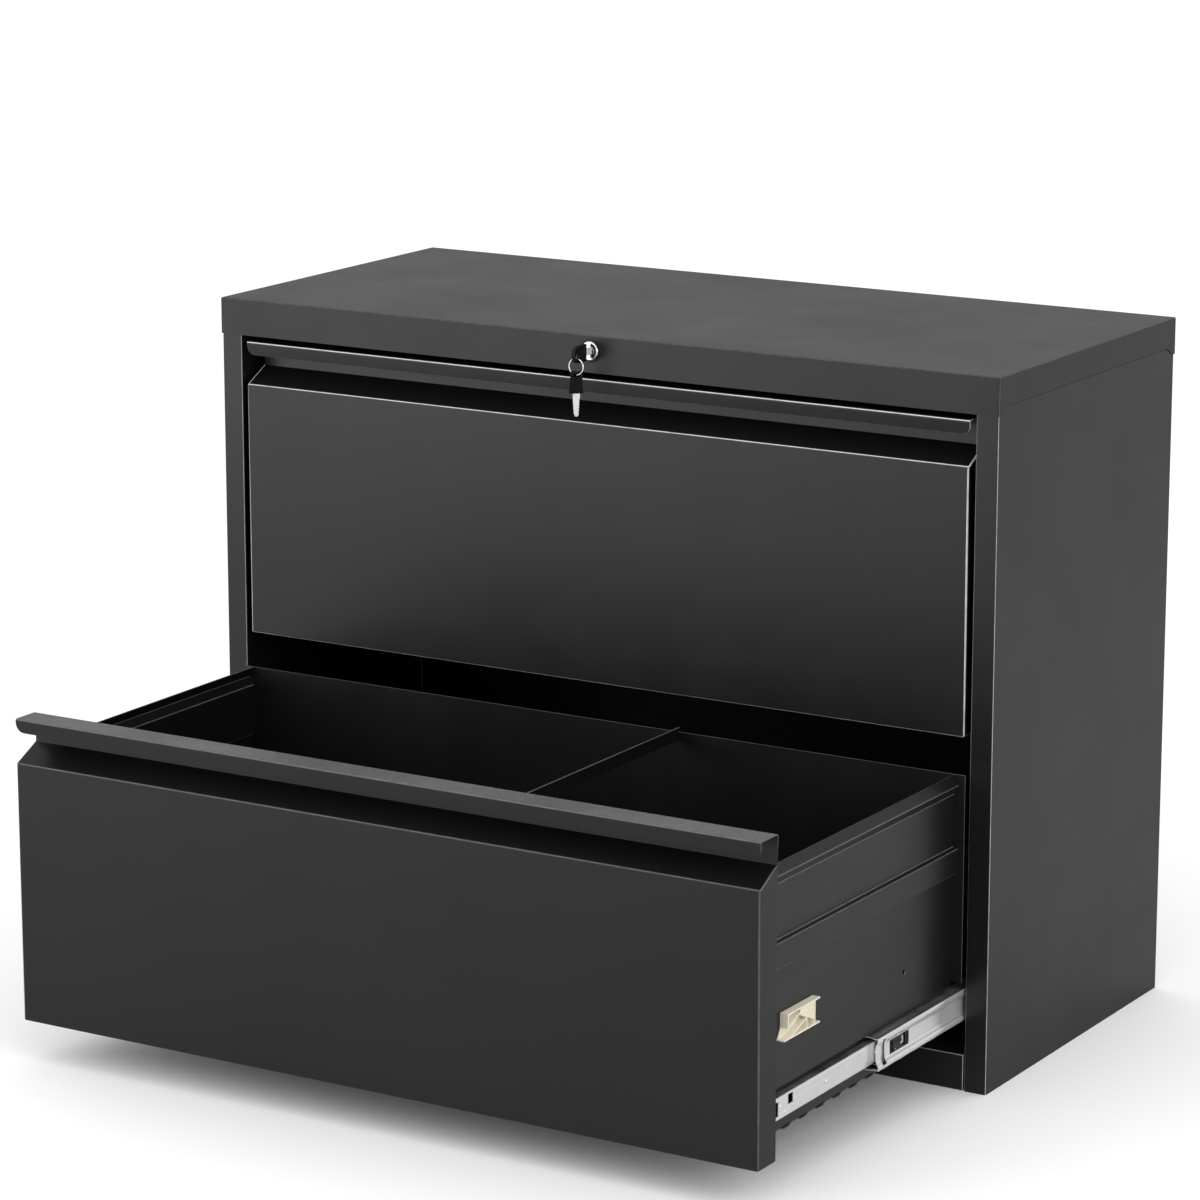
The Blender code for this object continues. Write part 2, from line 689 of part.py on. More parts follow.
def make_drawer_bottom(name, frame):
    """Floor sheet with cross ribs pressed down into it."""
    start, end = BODY_START, BODY_BACK - SHEET - GAP
    level = BODY_FLOOR + SHEET
    width = 2 * RIB_SLOPE + RIB_FLAT
    first = start + RIB_FRONT
    count = int((end - first - RIB_MARGIN - width) / RIB_PITCH) + 1
    outline = [(start, level)]
    for number in range(count):
        edge = first + number * RIB_PITCH
        outline += [(edge, level), (edge + RIB_SLOPE, level - RIB_DEPTH),
                    (edge + RIB_SLOPE + RIB_FLAT, level - RIB_DEPTH), (edge + width, level)]
    outline.append((end, level))
    return folded_sheet(name, "X", outline, (-SLIDE_WALL, SLIDE_WALL), COAT, frame, radius=0.0)


def make_inner_front(name, frame):
    """Inner front wall, stepped back near its top into the rail that folders hang on."""
    near = BODY_START
    rail = near + RAIL_STEP
    foot = BODY_FLOOR + SHEET + GAP
    step = BODY_TOP - RAIL_LIP
    outline = [(rail, BODY_TOP), (rail, step), (near, step), (near, foot)]
    half = BODY_WIDTH / 2 - SHEET - GAP
    panel = folded_sheet(name, "X", list(reversed(outline)), (-half, half), COAT, frame)
    narrow = SLIDE_WALL - SHEET - GAP
    corners = []
    for side in (-1, 1):
        across = sorted((side * narrow, side * (half + HIDDEN)))
        corners.append(((across[0], near - HIDDEN, foot - HIDDEN),
                        (across[1], near + HIDDEN, LEDGE_LEVEL + LEDGE_SLOPE + SHEET + BEND)))
    return cut_boxes(panel, corners, frame)


def make_drawer_front(name, frame):
    """One folded sheet: face with returns, slant, riser and the overhanging pull lip."""
    half = FACE_WIDTH / 2
    face = FACE_SETBACK
    back = FACE_SETBACK + FRONT_DEPTH
    top = FACE_HEIGHT
    slant = top + SLANT_RISE
    under_lip = top + LIP_RISE - SHEET
    bm = bmesh.new()
    verts = block(bm, (-half, face, 0.0), (half, back, slant))
    for vert in verts:
        if vert.co.z > slant / 2:
            if vert.co.y > (face + back) / 2:
                vert.co.y = back - SHEET
            else:
                vert.co.z = top
    bm.normal_update()
    rear = [item for item in bm.faces if item.normal.y > 0.9]
    bmesh.ops.delete(bm, geom=rear, context="FACES_ONLY")
    edge = max(bm.edges, key=lambda item: sum(vert.co.y * 10 + vert.co.z for vert in item.verts))
    folds = ((0, 0, under_lip - slant), (0, 2 * SHEET - FRONT_DEPTH, 0), (0, LIP_LEAN, SHEET - LIP_DROP))
    for shift in folds:
        grown = bmesh.ops.extrude_edge_only(bm, edges=[edge])["geom"]
        ends = [item for item in grown if isinstance(item, bmesh.types.BMVert)]
        bmesh.ops.translate(bm, verts=ends, vec=shift)
        edge = next(item for item in bm.edges if set(item.verts) == set(ends))
    bmesh.ops.recalc_face_normals(bm, faces=bm.faces[:])
    bm.normal_update()
    sheet = max(bm.faces, key=lambda item: item.calc_area())
    if sheet.normal.y > 0:
        bmesh.ops.reverse_faces(bm, faces=bm.faces[:])
    bmesh.ops.bevel(bm, geom=list(edge.verts), offset=LIP_CORNER, segments=4, profile=0.5,
                    affect="VERTICES", clamp_overlap=True, material=-1)
    obj = object_from(name, bm, frame)
    add_bends(obj, BEND)
    add_thickness(obj, SHEET)
    return smooth(dress(obj, COAT))


def make_hanging_bar(name, frame):
    """Flat bar on edge, notched at both ends over the front rail and the drawer's back."""
    rail = BODY_START + RAIL_STEP
    top = BODY_TOP + BAR_ABOVE
    low = top - BAR_DEPTH
    seat = BODY_TOP + GAP
    ends = (rail - BAR_END, BODY_BACK + BAR_END - GAP)
    notches = ((rail - GAP, rail + SHEET + GAP), (BODY_BACK - SHEET - GAP, BODY_BACK + GAP))
    outline = [(ends[0], top), (ends[0], low)]
    for near, far in notches:
        outline += [(near, low), (near, seat), (far, seat), (far, low)]
    outline += [(ends[1], low), (ends[1], top)]
    return flat_plate(name, "X", outline, BAR_X, BAR_THICKNESS, COAT, frame)


def add_clip_wall(clip, word, line, out, thickness, frame):
    """Join a straight wall to the clip: it stands out from the drawer's side along a (y, z) line."""
    start, end = Vector(line[0]), Vector(line[1])
    run = end - start
    bm = bmesh.new()
    verts = block(bm, (BODY_WIDTH / 2 + GAP, 0.0, -thickness / 2), (out, run.length, thickness / 2))
    turn = Matrix.Rotation(math.atan2(run.y, run.x), 4, "X")
    bmesh.ops.transform(bm, matrix=Matrix.Translation((0.0, *start)) @ turn, verts=verts)
    combine(clip, tool(clip.name + "_" + word, bm, frame), "UNION")


def make_clip(name, frame):
    """Ribbed plastic clip on the right side that works the interlock."""
    base = BODY_WIDTH / 2 + GAP
    out = base + CLIP_OUT
    rear = CLIP_Y + CLIP_LENGTH
    top = CLIP_LEVEL + CLIP_HEIGHT
    toe = CLIP_Y - CLIP_TOE
    knee = CLIP_LEVEL + CLIP_TOE_HEIGHT
    outline = [(CLIP_Y, top), (rear, top), (rear, CLIP_LEVEL), (toe, CLIP_LEVEL), (CLIP_Y, knee)]
    clip = flat_plate(name, "X", outline, base, CLIP_WALL, IVORY, frame)
    half = CLIP_WALL / 2
    upper = top - half
    lower = CLIP_LEVEL + half
    front = CLIP_Y + half
    rib = Vector((math.cos(math.radians(CLIP_RIB_ANGLE)), math.sin(math.radians(CLIP_RIB_ANGLE))))
    rib *= CLIP_RIB_LENGTH
    post = rear - CLIP_POST_FROM_REAR
    under_web = CLIP_LEVEL + CLIP_WEB_FOOT + CLIP_WEB_SLANT / 2
    walls = {
        "top_flange": ((CLIP_Y, upper), (rear + CLIP_HORN, upper)),
        "foot_flange": ((toe, lower), (rear + CLIP_HORN, lower)),
        "front_wall": ((front, knee), (front, upper)),
        "rear_wall": ((rear - half, lower), (rear - half, upper)),
    }
    for word, line in walls.items():
        add_clip_wall(clip, word, line, out, CLIP_WALL, frame)
    ribs = {
        "upper_rib": ((front, knee), (front + rib.x, knee + rib.y)),
        "lower_rib": ((CLIP_Y + CLIP_TOE, lower), (CLIP_Y + CLIP_TOE + rib.x, lower + rib.y)),
        "post_rib": ((post, lower), (post, under_web + CLIP_WALL)),
    }
    for word, line in ribs.items():
        add_clip_wall(clip, word, line, out - CLIP_RIB / 2, CLIP_RIB, frame)
    bm = bmesh.new()
    verts = block(bm, (out - 2 * CLIP_RIB, rear - CLIP_WEB_LENGTH, CLIP_LEVEL + CLIP_WEB_FOOT),
                  (out - CLIP_RIB, rear - GAP, upper))
    for vert in verts:
        if vert.co.z < CLIP_LEVEL + CLIP_HEIGHT / 2 and vert.co.y < rear - CLIP_WEB_LENGTH / 2:
            vert.co.z += CLIP_WEB_SLANT
    return combine(clip, tool(name + "_web", bm, frame), "UNION")


def make_drawer(level, opened):
    prefix = level["name"]
    frame = empty(prefix + "_frame", (0, FRONT - opened, level["height"]))
    make_drawer_front(prefix + "_front", frame)
    make_inner_front(prefix + "_inner_front", frame)
    for word, side in (("left", -1), ("right", 1)):
        make_drawer_side(prefix + "_" + word + "_side", side, frame)
    make_drawer_back(prefix + "_back", frame)
    make_drawer_bottom(prefix + "_bottom", frame)
    make_hanging_bar(prefix + "_hanging_bar", frame)
    make_clip(prefix + "_interlock_clip", frame)


# Lock


def gear_depth():
    """How far behind the front plane the lock rod's front face lies."""
    return BARREL_LENGTH + PLUG_TAIL + CAM_THICKNESS + 2 * GAP


def make_housing(frame):
    """Chrome head and threaded barrel round the plug, with a black trim ring and a nut."""
    seat = -TRIM_THICKNESS - 2 * GAP
    bore = PLUG_RADIUS + GAP
    profile = [(bore, seat - HEAD_HEIGHT), (HEAD_RADIUS - HEAD_HEIGHT / 2, seat - HEAD_HEIGHT),
               (HEAD_RADIUS, seat - HEAD_HEIGHT / 2), (HEAD_RADIUS, seat), (BARREL_RADIUS, seat),
               (BARREL_RADIUS, BARREL_LENGTH), (bore, BARREL_LENGTH)]
    turned("lock_housing", profile, BRIGHT, frame)
    inner = BARREL_RADIUS + GAP
    trim = [(inner, -TRIM_THICKNESS - GAP), (TRIM_RADIUS - TRIM_THICKNESS / 2, -TRIM_THICKNESS - GAP),
            (TRIM_RADIUS, -TRIM_THICKNESS / 2 - GAP), (TRIM_RADIUS, -GAP), (inner, -GAP)]
    turned("lock_trim_ring", trim, PLASTIC, frame)
    bm = bmesh.new()
    near = CAP_SHEET + GAP
    radius = NUT_ACROSS / 2 / math.cos(math.radians(30.0))
    rod_mesh(bm, radius, (0, near, 0), (0, near + NUT_THICKNESS, 0), 6)
    nut = dress(object_from("lock_nut", bm, frame), PLATED)
    bm = bmesh.new()
    rod_mesh(bm, inner, (0, -HIDDEN, 0), (0, HIDDEN, 0))
    combine(nut, tool("lock_nut_bore", bm, frame))


def make_plug(frame):
    """Turning plug with the keyway cut in its face."""
    seat = -TRIM_THICKNESS - 2 * GAP - HEAD_HEIGHT - PLUG_PROUD
    bm = bmesh.new()
    rod_mesh(bm, PLUG_RADIUS, (0, seat, 0), (0, BARREL_LENGTH + PLUG_TAIL, 0))
    plug = smooth(dress(object_from("lock_plug", bm, frame), BRIGHT))
    bm = bmesh.new()
    half = (KEY_THICKNESS / 2 + GAP, KEY_WIDTH / 2 + GAP)
    block(bm, (-half[0], seat - HIDDEN, -half[1]), (half[0], seat + KEY_INSERTED + GAP, half[1]))
    combine(plug, tool("keyway", bm, frame))
    return seat


def make_cam(frame):
    """Flat arm on the plug's tail, with the pin that drives the lock rod."""
    near = BARREL_LENGTH + PLUG_TAIL + GAP
    far = near + CAM_THICKNESS
    angle = math.radians(-90.0 - CAM_SWING / 2)
    pin = Vector((CAM_RADIUS * math.cos(angle), 0, CAM_RADIUS * math.sin(angle)))
    outline = rounded_arm((0.0, 0.0), (pin.x, pin.z), CAM_WIDTH / 2)
    cam = flat_plate("lock_cam", "Y", outline, near, CAM_THICKNESS, PLATED, frame)
    bm = bmesh.new()
    rod_mesh(bm, CAM_PIN, (pin.x, (near + far) / 2, pin.z), (pin.x, far + GAP + ROD_THICKNESS, pin.z), 12)
    combine(cam, tool("cam_pin", bm, frame), "UNION")


def rod_stroke():
    """How far the rod moves while the key turns, from one side of straight down to the other."""
    return 2 * CAM_RADIUS * math.sin(math.radians(CAM_SWING / 2))


def make_lock_rod(frame):
    """Flat rod behind the front skirt, with an upright slot for the cam and a sloping one for the bar."""
    near = gear_depth()
    far = near + ROD_THICKNESS
    centre = -ROD_LEVEL_BELOW_LOCK - ROD_HEIGHT / 2
    start = -rod_stroke() / 2
    outline = [(start - ROD_TAIL, centre - ROD_HEIGHT / 2), (ROD_REACH + start, centre - ROD_HEIGHT / 2),
               (ROD_REACH + start, centre + ROD_HEIGHT / 2), (start - ROD_TAIL, centre + ROD_HEIGHT / 2)]
    rod = flat_plate("lock_rod", "Y", outline, near, ROD_THICKNESS, PLATED, frame)
    bm = bmesh.new()
    play = CAM_PIN + ROD_PLAY
    deep = -CAM_RADIUS - play
    block(bm, (start - play, near - HIDDEN, deep), (start + play, far + HIDDEN, -CAM_RADIUS / 2))
    combine(rod, tool("rod_cam_slot", bm, frame))
    bm = bmesh.new()
    slope = math.atan2(LOCK_BAR_LIFT, rod_stroke())
    half = math.hypot(LOCK_BAR_LIFT, rod_stroke()) / 2 + play
    slot = block(bm, (-half, near - HIDDEN, -play), (half, far + HIDDEN, play))
    place = Matrix.Translation((GEAR_SLOT_X, 0, centre)) @ Matrix.Rotation(-slope, 4, "Y")
    bmesh.ops.transform(bm, matrix=place, verts=slot)
    combine(rod, tool("rod_bar_slot", bm, frame))
    return centre


def make_lock_bar(frame, centre):
    """Upright locking bar in the right post, with an arm to the rod and a tab for each drawer."""
    near = gear_depth() + ROD_THICKNESS + GAP
    far = near + ROD_THICKNESS
    inner = OPENING_HALF + LOCK_BAR_INSET
    outer = inner + LOCK_BAR_WIDTH
    pin_x = GEAR_SLOT_X + rod_stroke() / 2
    pin_z = centre + LOCK_BAR_LIFT / 2
    top = pin_z + LOCK_BAR_WIDTH / 2
    arm = pin_x - LOCK_BAR_WIDTH / 2
    foot = LOCK_BAR_FOOT - LOCK_LEVEL
    outline = [(arm, top), (arm, top - LOCK_BAR_WIDTH), (inner, top - LOCK_BAR_WIDTH), (inner, foot),
               (outer, foot), (outer, top)]
    bar = flat_plate("lock_bar", "Y", outline, near, ROD_THICKNESS, PLATED, frame)
    bm = bmesh.new()
    rod_mesh(bm, CAM_PIN, (pin_x, near - GAP - ROD_THICKNESS, pin_z), (pin_x, (near + far) / 2, pin_z), 12)
    combine(bar, tool("bar_pin", bm, frame), "UNION")
    for level in (FACE_LEVEL, FACE_LEVEL + DRAWER_PITCH):
        middle = level + CLIP_LEVEL + CLIP_HEIGHT / 2 - LOCK_LEVEL
        bm = bmesh.new()
        block(bm, (inner - LOCK_BAR_TAB, near, middle - LOCK_BAR_TAB_HEIGHT / 2),
              (inner + LOCK_BAR_TAB, far, middle + LOCK_BAR_TAB_HEIGHT / 2))
        combine(bar, tool("bar_tab_%03d" % round(level * 1000), bm, frame), "UNION")


def make_rod_guide(frame, centre):
    """Hooked bracket on the back of the skirt that the rod runs over."""
    near = gear_depth()
    far = near + ROD_THICKNESS
    low = centre - ROD_HEIGHT / 2 - GAP
    outline = [(far + GAP + SHEET, low + RAIL_LIP / 2), (far + GAP + SHEET, low - SHEET),
               (CAP_SHEET + GAP, low - SHEET), (CAP_SHEET + GAP, centre + ROD_HEIGHT)]
    folded_sheet("rod_guide", "X", outline, (GUIDE_X, GUIDE_X + GUIDE_WIDTH), COAT, frame, radius=0.0)


def make_key(frame, seat):
    """Key in the lock: blade in the plug, moulded head with an eye for the ring."""
    start = -KEY_HEAD_START
    bm = bmesh.new()
    half = KEY_THICKNESS / 2
    block(bm, (-half, start - KEY_IN_HEAD, -KEY_WIDTH / 2), (half, seat + KEY_INSERTED, KEY_WIDTH / 2))
    dress(object_from("key_blade", bm, frame), BARE)
    middle = start - KEY_HEAD_LENGTH + KEY_HEAD_RADIUS
    outline = [(start, KEY_HEAD_RADIUS), (start, -KEY_HEAD_RADIUS)]
    for number in range(13):
        angle = math.radians(-90.0 - 15.0 * number)
        outline.append((middle + KEY_HEAD_RADIUS * math.cos(angle), KEY_HEAD_RADIUS * math.sin(angle)))
    head = flat_plate("key_head", "X", outline, -KEY_HEAD_THICKNESS / 2, KEY_HEAD_THICKNESS, PLASTIC, frame)
    eye = eye_centre()
    bm = bmesh.new()
    rod_mesh(bm, EYE_RADIUS, (-HIDDEN, eye[0], eye[1]), (HIDDEN, eye[0], eye[1]), 20)
    combine(head, tool("key_eye", bm, frame))
    bm = bmesh.new()
    block(bm, (-half - GAP, start - KEY_IN_HEAD - GAP, -KEY_WIDTH / 2 - GAP),
          (half + GAP, start + HIDDEN, KEY_WIDTH / 2 + GAP))
    combine(head, tool("key_head_socket", bm, frame))


def eye_centre():
    """Centre of the eye in the key's head, (y, z) from the lock's centre."""
    return (-KEY_HEAD_START - KEY_HEAD_LENGTH + EYE_BACK, -EYE_BELOW)


def bridge_centre():
    """Middle of the strip of head under the eye, which the ring hangs round."""
    y, z = eye_centre()
    middle = -KEY_HEAD_START - KEY_HEAD_LENGTH + KEY_HEAD_RADIUS
    edge = -math.sqrt(KEY_HEAD_RADIUS ** 2 - (y - middle) ** 2)
    return (y, (z - EYE_RADIUS + edge) / 2)


def make_ring(lock):
    """Key ring that hangs through the eye, and the frame that it turns on."""
    y, z = bridge_centre()
    frame = empty("key_ring_frame", (lock[0], lock[1] + y, lock[2] + z))
    centre = RING_SEAT - RING_RADIUS
    curve = bpy.data.curves.new("key_ring", "CURVE")
    curve.dimensions = "3D"
    curve.bevel_depth = RING_WIRE
    curve.bevel_resolution = 2
    spline = curve.splines.new("POLY")
    count = 28
    spline.points.add(count - 1)
    for number, point in enumerate(spline.points):
        angle = 2 * math.pi * number / count
        point.co = (RING_RADIUS * math.cos(angle), 0, centre + RING_RADIUS * math.sin(angle), 1)
    spline.use_cyclic_u = True
    ring = bpy.data.objects.new("key_ring", curve)
    ring.parent = frame
    PARTS.objects.link(ring)
    dress(ring, BRIGHT)
    return frame, centre - RING_RADIUS


def make_spare_key(ring_frame, foot):
    """Second key, hung on the lowest point of the ring and turned towards the room."""
    frame = empty("spare_key_frame", (0, 0, foot), ring_frame)
    half = SPARE_EYE_HEIGHT
    roof = RING_WIRE + SPARE_PLAY
    top = roof + SPARE_BRIDGE
    bottom = top - SPARE_HEAD
    turn = Matrix.Rotation(math.radians(SPARE_TURN), 4, "Z")
    outline = [(-SPARE_TOP / 2, top), (-SPARE_FOOT / 2, bottom), (SPARE_FOOT / 2, bottom),
               (SPARE_TOP / 2, top)]
    near = -KEY_HEAD_THICKNESS / 2
    head = flat_plate("spare_key_head", "Y", outline, near, KEY_HEAD_THICKNESS, PLASTIC, frame)
    head.matrix_local = turn
    bm = bmesh.new()
    block(bm, (-SPARE_EYE_WIDTH / 2, -HIDDEN, roof - half), (SPARE_EYE_WIDTH / 2, HIDDEN, roof))
    eye = tool("spare_key_eye", bm, frame)
    eye.matrix_local = turn
    combine(head, eye)
    wide = KEY_WIDTH / 2
    root = bottom + KEY_IN_HEAD
    tip = bottom - SPARE_BLADE
    shoulder = tip + SPARE_TIP
    narrow = wide - SPARE_TAPER
    blade_outline = [(-wide, root), (-wide, shoulder + SPARE_CUTS * SPARE_CUT_PITCH), (-narrow, shoulder),
                     (-narrow / 2, tip), (narrow / 2, tip), (narrow, shoulder)]
    for number in range(SPARE_CUTS):
        level = shoulder + number * SPARE_CUT_PITCH
        edge = narrow + SPARE_TAPER * (number + 1) / SPARE_CUTS
        blade_outline += [(edge - SPARE_CUT_DEPTH, level + SPARE_CUT_PITCH / 2),
                          (edge, level + SPARE_CUT_PITCH)]
    blade_outline.append((wide, root))
    blade = flat_plate("spare_key_blade", "Y", blade_outline, -KEY_THICKNESS / 2, KEY_THICKNESS, BARE, frame)
    blade.matrix_local = turn
    bm = bmesh.new()
    block(bm, (-wide - GAP, -KEY_THICKNESS / 2 - GAP, bottom - HIDDEN),
          (wide + GAP, KEY_THICKNESS / 2 + GAP, root + GAP))
    socket = tool("spare_key_socket", bm, frame)
    socket.matrix_local = turn
    combine(head, socket)


def make_lock():
    centre = (0, FRONT, LOCK_LEVEL)
    fixed = empty("lock_line", centre)
    turning = empty("lock_turn_frame", centre)
    sliding = empty("lock_rod_frame", centre)
    lifting = empty("lock_bar_frame", centre)
    make_housing(fixed)
    seat = make_plug(turning)
    make_cam(turning)
    make_key(turning, seat)
    middle = make_lock_rod(sliding)
    make_lock_bar(lifting, middle)
    make_rod_guide(fixed, middle)
    ring_frame, foot = make_ring(centre)
    make_spare_key(ring_frame, foot)


def main():
    make_cap()
    make_side_panel("left_side_panel", -1)
    make_side_panel("right_side_panel", 1)
    make_back_panel()
    make_base_rail()
    make_floor_panel()
    make_rear_upright("left_rear_upright", -1)
    make_rear_upright("right_rear_upright", 1)
    lower = {"name": "lower", "height": FACE_LEVEL}
    upper = {"name": "upper", "height": FACE_LEVEL + DRAWER_PITCH}
    for level, opened in ((lower, TRAVEL), (upper, 0.0)):
        make_drawer(level, opened)
        make_slides(level, opened)
    make_lock()


main()
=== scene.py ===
"""The dressed lateral filing cabinet: paint, plating and the small fittings of its slides and lock."""

import json
import math

import bmesh
import bpy
from mathutils import Matrix, Vector


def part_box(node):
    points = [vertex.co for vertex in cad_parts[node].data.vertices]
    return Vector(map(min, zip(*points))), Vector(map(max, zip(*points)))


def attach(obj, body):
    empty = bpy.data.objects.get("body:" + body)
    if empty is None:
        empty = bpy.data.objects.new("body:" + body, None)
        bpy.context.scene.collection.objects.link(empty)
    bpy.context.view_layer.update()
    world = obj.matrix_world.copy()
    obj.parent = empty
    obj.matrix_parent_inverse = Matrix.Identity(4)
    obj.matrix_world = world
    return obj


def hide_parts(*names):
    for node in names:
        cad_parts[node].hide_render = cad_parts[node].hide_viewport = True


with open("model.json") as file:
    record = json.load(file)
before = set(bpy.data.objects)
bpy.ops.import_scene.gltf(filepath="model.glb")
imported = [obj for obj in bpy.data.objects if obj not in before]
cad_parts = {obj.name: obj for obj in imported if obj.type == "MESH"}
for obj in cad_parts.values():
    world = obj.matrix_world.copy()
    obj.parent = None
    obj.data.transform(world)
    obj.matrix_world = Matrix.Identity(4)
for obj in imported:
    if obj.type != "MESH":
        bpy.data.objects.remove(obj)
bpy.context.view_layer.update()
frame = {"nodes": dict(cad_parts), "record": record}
NODES = frame["nodes"]

MM = 0.001
SIDES = {"left": -1, "right": 1}

# The view, how bright the studio's walls and floor are, and the floor's reach in metres
CAMERA_PLACE = (2.3001, -3.7793, 1.4748)
CAMERA_DIP = 0.2295
CAMERA_TURN = 0.5448
CAMERA_LENS = 136.08
WALL_LIGHT = 0.95
WALL_IN_FRONT = 0.62
WALL_BEHIND = 0.50
WALL_BLEND = 0.6
FLOOR_GREY = 0.55
FLOOR_REACH = 40.0
PAPER_WHITE = 1.0

# Widths of the folds and cut edges that wear bright and carry a painted highlight
RIM_WIDTH = 1.35 * MM
FOLD_WIDTH = 2.0 * MM
LONG_FOLD = 4.0 * MM
FLAT_RIM = 0.6 * MM
RIM_WEAR_AND_HIGHLIGHT = 0.82

# Easing of the sheets' edges: lengths in metres, angles in degrees
WELD = 0.004 * MM
FLAT_ANGLE = 0.6
HARD_ANGLE = 50.0
EASED_EDGE = 0.18 * MM

# The seam below the cap's side skirt, and the least area of the face that it is cut in, in square metres
SIDE_SKIRT = 29.5 * MM
SEAM_WIDTH = 0.9 * MM
SEAM_DEPTH = 0.7 * MM
SEAM_SLOPE = 0.04 * MM
CUT_ACCURACY = 0.0001 * MM
FACING_OUT = 0.999
OUTER_FACE_AREA = 0.05

# The latch in a middle member's window. Each block gives, in millimetres, two depths from the web's outer
# face, its start behind the window's start and its length, and its foot above the member's middle line
# and its height.
WEB_DEPTH = 2.3 * MM
WINDOW_START = 27.0 * MM
LEVER_EASING = 0.35 * MM
SPRING_EASING = 0.25 * MM
LEVER_BLOCKS = (
    (-1.1, -0.5, 0.0, 38.0, -6.4, 12.8),
    (-1.0, 0.8, 2.0, 25.0, -2.4, 4.4),
    (-1.0, 1.7, 4.0, 4.0, -5.2, 9.6),
    (-1.0, 1.2, 29.5, 2.2, -6.0, 12.0),
    (-1.0, 1.2, 34.0, 2.2, -6.0, 12.0),
)
SPRING_BLOCKS = (
    (-0.4, 1.5, 22.5, 1.2, -1.0, 6.8),
    (-0.4, 1.1, 19.6, 3.0, -1.6, 1.2),
    (-0.4, 1.3, 8.5, 1.3, -4.6, 1.3),
)

# A rivet head's outline, as shares of its radius and height, and the places of the rivets. Those on an
# inner member are in millimetres, behind its front end and above its middle line.
RIVET_OUTLINE = (
    (0.0, 0.4), (0.26, 0.4), (0.32, 0.95), (0.62, 0.86),
    (0.90, 0.46), (1.0, 0.0), (1.0, -0.1), (0.0, -0.1),
)
RIVET_STEPS = 18
RIVET_WELD = 0.002 * MM
MEMBER_RIVETS = ((9.0, 1.5), (18.0, -5.5), (96.0, 0.0), (192.0, 0.0), (288.0, 0.0))
MEMBER_RIVET_RADIUS = 1.9 * MM
MEMBER_RIVET_HEIGHT = 0.7 * MM
BACK_RIVET_COUNT = 6
BACK_RIVET_MARGIN = 45 * MM
BACK_RIVET_INSET = 6 * MM
BACK_RIVET_RADIUS = 3.2 * MM
BACK_RIVET_HEIGHT = 1.1 * MM

# How far wiped and dulled patches go below and above a sheet's own roughness
WIPED = 0.03
DULLED = 0.05

# The black coat: its speckle as shares of its shade, its orange peel, its bare edges with their painted
# highlight, and its dust with painted sheen on level faces
SPECKLE_DARK = 0.86
SPECKLE_PALE = 1.18
PEEL_STRENGTH = 0.16
PEEL_DEPTH = 0.22 * MM
WEAR_AND_HIGHLIGHT_BLUE = 1.01
DUST_AND_SHEEN_GREY = (0.26, 0.256, 0.248)
DUST_AND_SHEEN_ROUGHNESS = 0.35

# Zinc plate: how metallic it is, its bare edges with their painted highlight, the painted shade on its faces
# that look up, and its rolling lines
ZINC_METAL = 0.68
ZINC_METAL_SPREAD = 0.04
ZINC_EDGE_WEAR_AND_HIGHLIGHT = (0.98, 0.98, 0.98)
UPWARD_SHADE_BROWN = (0.11, 0.108, 0.10)
STREAK_DARK = 0.95
STREAK_PALE = 1.03
STREAK_ROUGHNESS = 0.03
STREAK_RELIEF = 0.02

# Plastic: its grain, with lumps as a share of it, and its darker specks
PLASTIC_GRAIN = 2200.0
PLASTIC_LUMPS = 0.4
PLASTIC_DARK = 0.93
PLASTIC_RELIEF = 0.2
PLASTIC_WIPED = 0.05
PLASTIC_DULLED = 0.08
FINE_DEPTH = 0.04 * MM

# The sockets of a Mix node that take and give colours
MIX_FIRST = 6
MIX_SECOND = 7
MIX_RESULT = 2


# Shader nodes


def set_input(tree, socket, value):
    """Link a socket to another one, or give it a plain value."""
    if isinstance(value, bpy.types.NodeSocket):
        tree.links.new(value, socket)
    else:
        socket.default_value = value


def add_node(tree, kind, inputs=None, **settings):
    """A node with its settings, and its inputs set or linked by name or number."""
    node = tree.nodes.new(kind)
    for label, value in settings.items():
        setattr(node, label, value)
    for label, value in (inputs or {}).items():
        set_input(tree, node.inputs[label], value)
    return node


def math_node(tree, operation, *values, clamp=False):
    """One sum on one or two values."""
    node = add_node(tree, "ShaderNodeMath", dict(enumerate(values)), operation=operation, use_clamp=clamp)
    return node.outputs[0]


def span(tree, value, low, high, out_low=0.0, out_high=1.0):
    """Stretch a value from one range to another and clamp it."""
    inputs = {"Value": value, "From Min": low, "From Max": high, "To Min": out_low, "To Max": out_high}
    return add_node(tree, "ShaderNodeMapRange", inputs).outputs["Result"]


def noise(tree, where, scale, detail=2.0, rough=0.5):
    """Soft noise between 0 and 1."""
    inputs = {"Vector": where, "Scale": scale, "Detail": detail, "Roughness": rough}
    return add_node(tree, "ShaderNodeTexNoise", inputs).outputs["Fac"]


def bump(tree, height, strength, distance):
    """A normal that follows a fine relief."""
    inputs = {"Height": height, "Strength": strength, "Distance": distance}
    return add_node(tree, "ShaderNodeBump", inputs).outputs["Normal"]


def socket_colour(colour):
    """A colour with its alpha, from three numbers or one grey. A link stays a link."""
    if isinstance(colour, bpy.types.NodeSocket):
        return colour
    if isinstance(colour, float):
        return (colour, colour, colour, 1.0)
    return (*colour, 1.0)


def tint(tree, mask, first, second):
    """Blend from one colour where the mask is 0 to another where it is 1."""
    inputs = {"Factor": mask, MIX_FIRST: socket_colour(first), MIX_SECOND: socket_colour(second)}
    return add_node(tree, "ShaderNodeMix", inputs, data_type="RGBA").outputs[MIX_RESULT]


def shaded(colour, share):
    """A plain colour made darker or paler, and never past white."""
    return tuple(min(1.0, channel * share) for channel in colour)


def seen_by(tree, *rays):
    """1 for the named kinds of ray, 0 for all others."""
    path = add_node(tree, "ShaderNodeLightPath")
    found = path.outputs[rays[0]]
    for ray in rays[1:]:
        found = math_node(tree, "MAXIMUM", found, path.outputs[ray])
    return found


